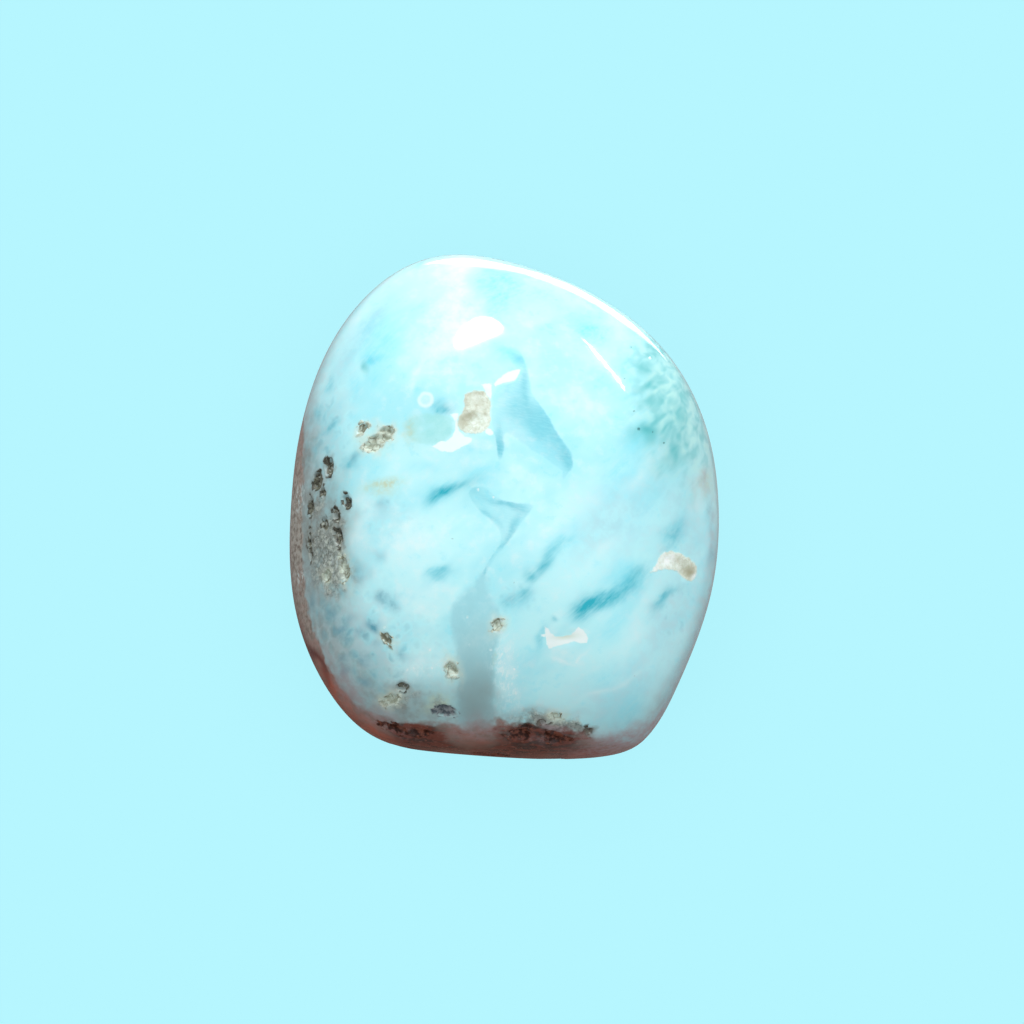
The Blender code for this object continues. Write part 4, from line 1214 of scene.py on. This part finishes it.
def make_floor():
    """A plain pale floor. The camera sees its pale blue, and the polished stone reflects warm surroundings."""
    mesh = bmesh.new()
    bmesh.ops.create_grid(mesh, x_segments=1, y_segments=1, size=1.5)
    data = bpy.data.meshes.new("floor")
    mesh.to_mesh(data)
    mesh.free()
    floor = bpy.data.objects.new("floor", data)
    bpy.context.collection.objects.link(floor)
    material = bpy.data.materials.new("pale floor")
    material.use_nodes = True
    tree = material.node_tree
    tree.nodes.remove(tree.nodes["Principled BSDF"])
    rays = add_node(tree, "LightPath").outputs
    nearness = add_node(tree, "AmbientOcclusion", {"samples": 6}, Distance=0.015).outputs["AO"]
    shaded = tint(tree, between(tree, nearness, 0.3, 1.0), FLOOR_SHADE, FLOOR_BLUE)
    place = add_node(tree, "SeparateXYZ", Vector=add_node(tree, "TexCoord").outputs["Object"]).outputs
    towards_head = between(tree, place["Y"], -0.045, 0.06)
    towards_right = between(tree, place["X"], 0.0, 0.04)
    foot_warmth = tint(tree, towards_right, (0.10, 0.045, 0.03), (0.42, 0.36, 0.37))
    seen = add_node(tree, "Emission", Color=shaded, Strength=1.0)
    warm = add_node(tree, "Emission", Strength=1.0,
                    Color=tint(tree, towards_head, foot_warmth, (0.45, 0.42, 0.42)))
    bounce = add_node(tree, "Emission", Strength=1.0,
                      Color=tint(tree, towards_head, (0.30, 0.31, 0.32), (0.55, 0.60, 0.62)))
    unseen = add_node(tree, "MixShader", Fac=rays["Is Glossy Ray"])
    tree.links.new(bounce.outputs["Emission"], unseen.inputs[1])
    tree.links.new(warm.outputs["Emission"], unseen.inputs[2])
    whole = add_node(tree, "MixShader", Fac=rays["Is Camera Ray"])
    tree.links.new(unseen.outputs["Shader"], whole.inputs[1])
    tree.links.new(seen.outputs["Emission"], whole.inputs[2])
    tree.links.new(whole.outputs["Shader"], tree.nodes["Material Output"].inputs["Surface"])
    data.materials.append(material)


def make_world():
    """Soft white light from above and from the head's side, and a dim surround in the polish."""
    world = bpy.data.worlds.new("studio")
    bpy.context.scene.world = world
    world.use_nodes = True
    tree = world.node_tree
    rays = add_node(tree, "LightPath").outputs
    heading = add_node(tree, "TexCoord").outputs["Generated"]
    facing = add_node(tree, "VectorMath", {"operation": "DOT_PRODUCT"}).inputs
    feed(tree, facing[0], heading)
    feed(tree, facing[1], BRIGHT_SIDE)
    towards_light = tree.nodes[-1].outputs["Value"]
    height = add_node(tree, "SeparateXYZ", Vector=heading).outputs["Z"]
    soft = tint(tree, between(tree, towards_light, -0.6, 1.0), (0.35, 0.35, 0.35), (0.86, 0.86, 0.86))
    dim = tint(tree, between(tree, height, 0.0, 0.5), (0.16, 0.14, 0.14), (0.11, 0.11, 0.12))
    colour = tint(tree, rays["Is Glossy Ray"], soft, dim)
    colour = tint(tree, rays["Is Camera Ray"], colour, FLOOR_BLUE)
    feed(tree, tree.nodes["Background"].inputs["Color"], colour)


def area_light(name, azimuth, elevation, distance, length, width, watts, roll=0.0):
    """A soft light that faces the stone from an azimuth and elevation, its length level before the roll."""
    light = bpy.data.lights.new(name, "AREA")
    light.shape = "ELLIPSE"
    light.size = length * MM
    light.size_y = width * MM
    light.energy = watts
    lamp = bpy.data.objects.new(name, light)
    way = Vector(facing_way(azimuth, elevation))
    turn = way.to_track_quat("Z", "Y").to_matrix().to_4x4()
    place = Matrix.Translation((STONE_MIDDLE + way * distance) * MM)
    lamp.matrix_world = place @ turn @ Matrix.Rotation(math.radians(roll), 4, "Z")
    lamp.visible_camera = False
    bpy.context.collection.objects.link(lamp)
    return lamp


def make_lights():
    """The key light and a slim strip show in the polish, and a card beside the head brightens its rim."""
    area_light("key light", 85, 39.2, 500, 225, 76, 1.5, roll=38)
    area_light("strip light", 56.9, 18.2, 500, 110, 3, 0.055, roll=-48)
    card = area_light("bright card", CARD_AZIMUTH, 0, CARD_MIDDLE, 50, 40, 0.028)
    card.data.shape = "RECTANGLE"
    outward = Vector(facing_way(CARD_AZIMUTH, 0))
    level = UP.cross(outward)
    card.matrix_world = Matrix.Translation((outward * CARD_MIDDLE + UP * CARD_HEIGHT) * MM) @ Matrix(
        (level, outward, -UP)).transposed().to_4x4()


def make_camera():
    right, up, backward = view_axes()
    aim, place = camera_place()
    data = bpy.data.cameras.new("camera")
    data.lens = LENS
    data.sensor_width = SENSOR
    camera = bpy.data.objects.new("camera", data)
    turn = Matrix((right, up, backward)).transposed().to_4x4()
    camera.matrix_world = Matrix.Translation(place * MM) @ turn
    bpy.context.collection.objects.link(camera)
    bpy.context.scene.camera = camera


bpy.context.scene.view_settings.view_transform = "Standard"
make_camera()
make_world()
make_lights()
make_floor()
stone = make_stone()
stone.data.materials.append(larimar())
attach(stone, "root")
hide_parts("palm_stone")
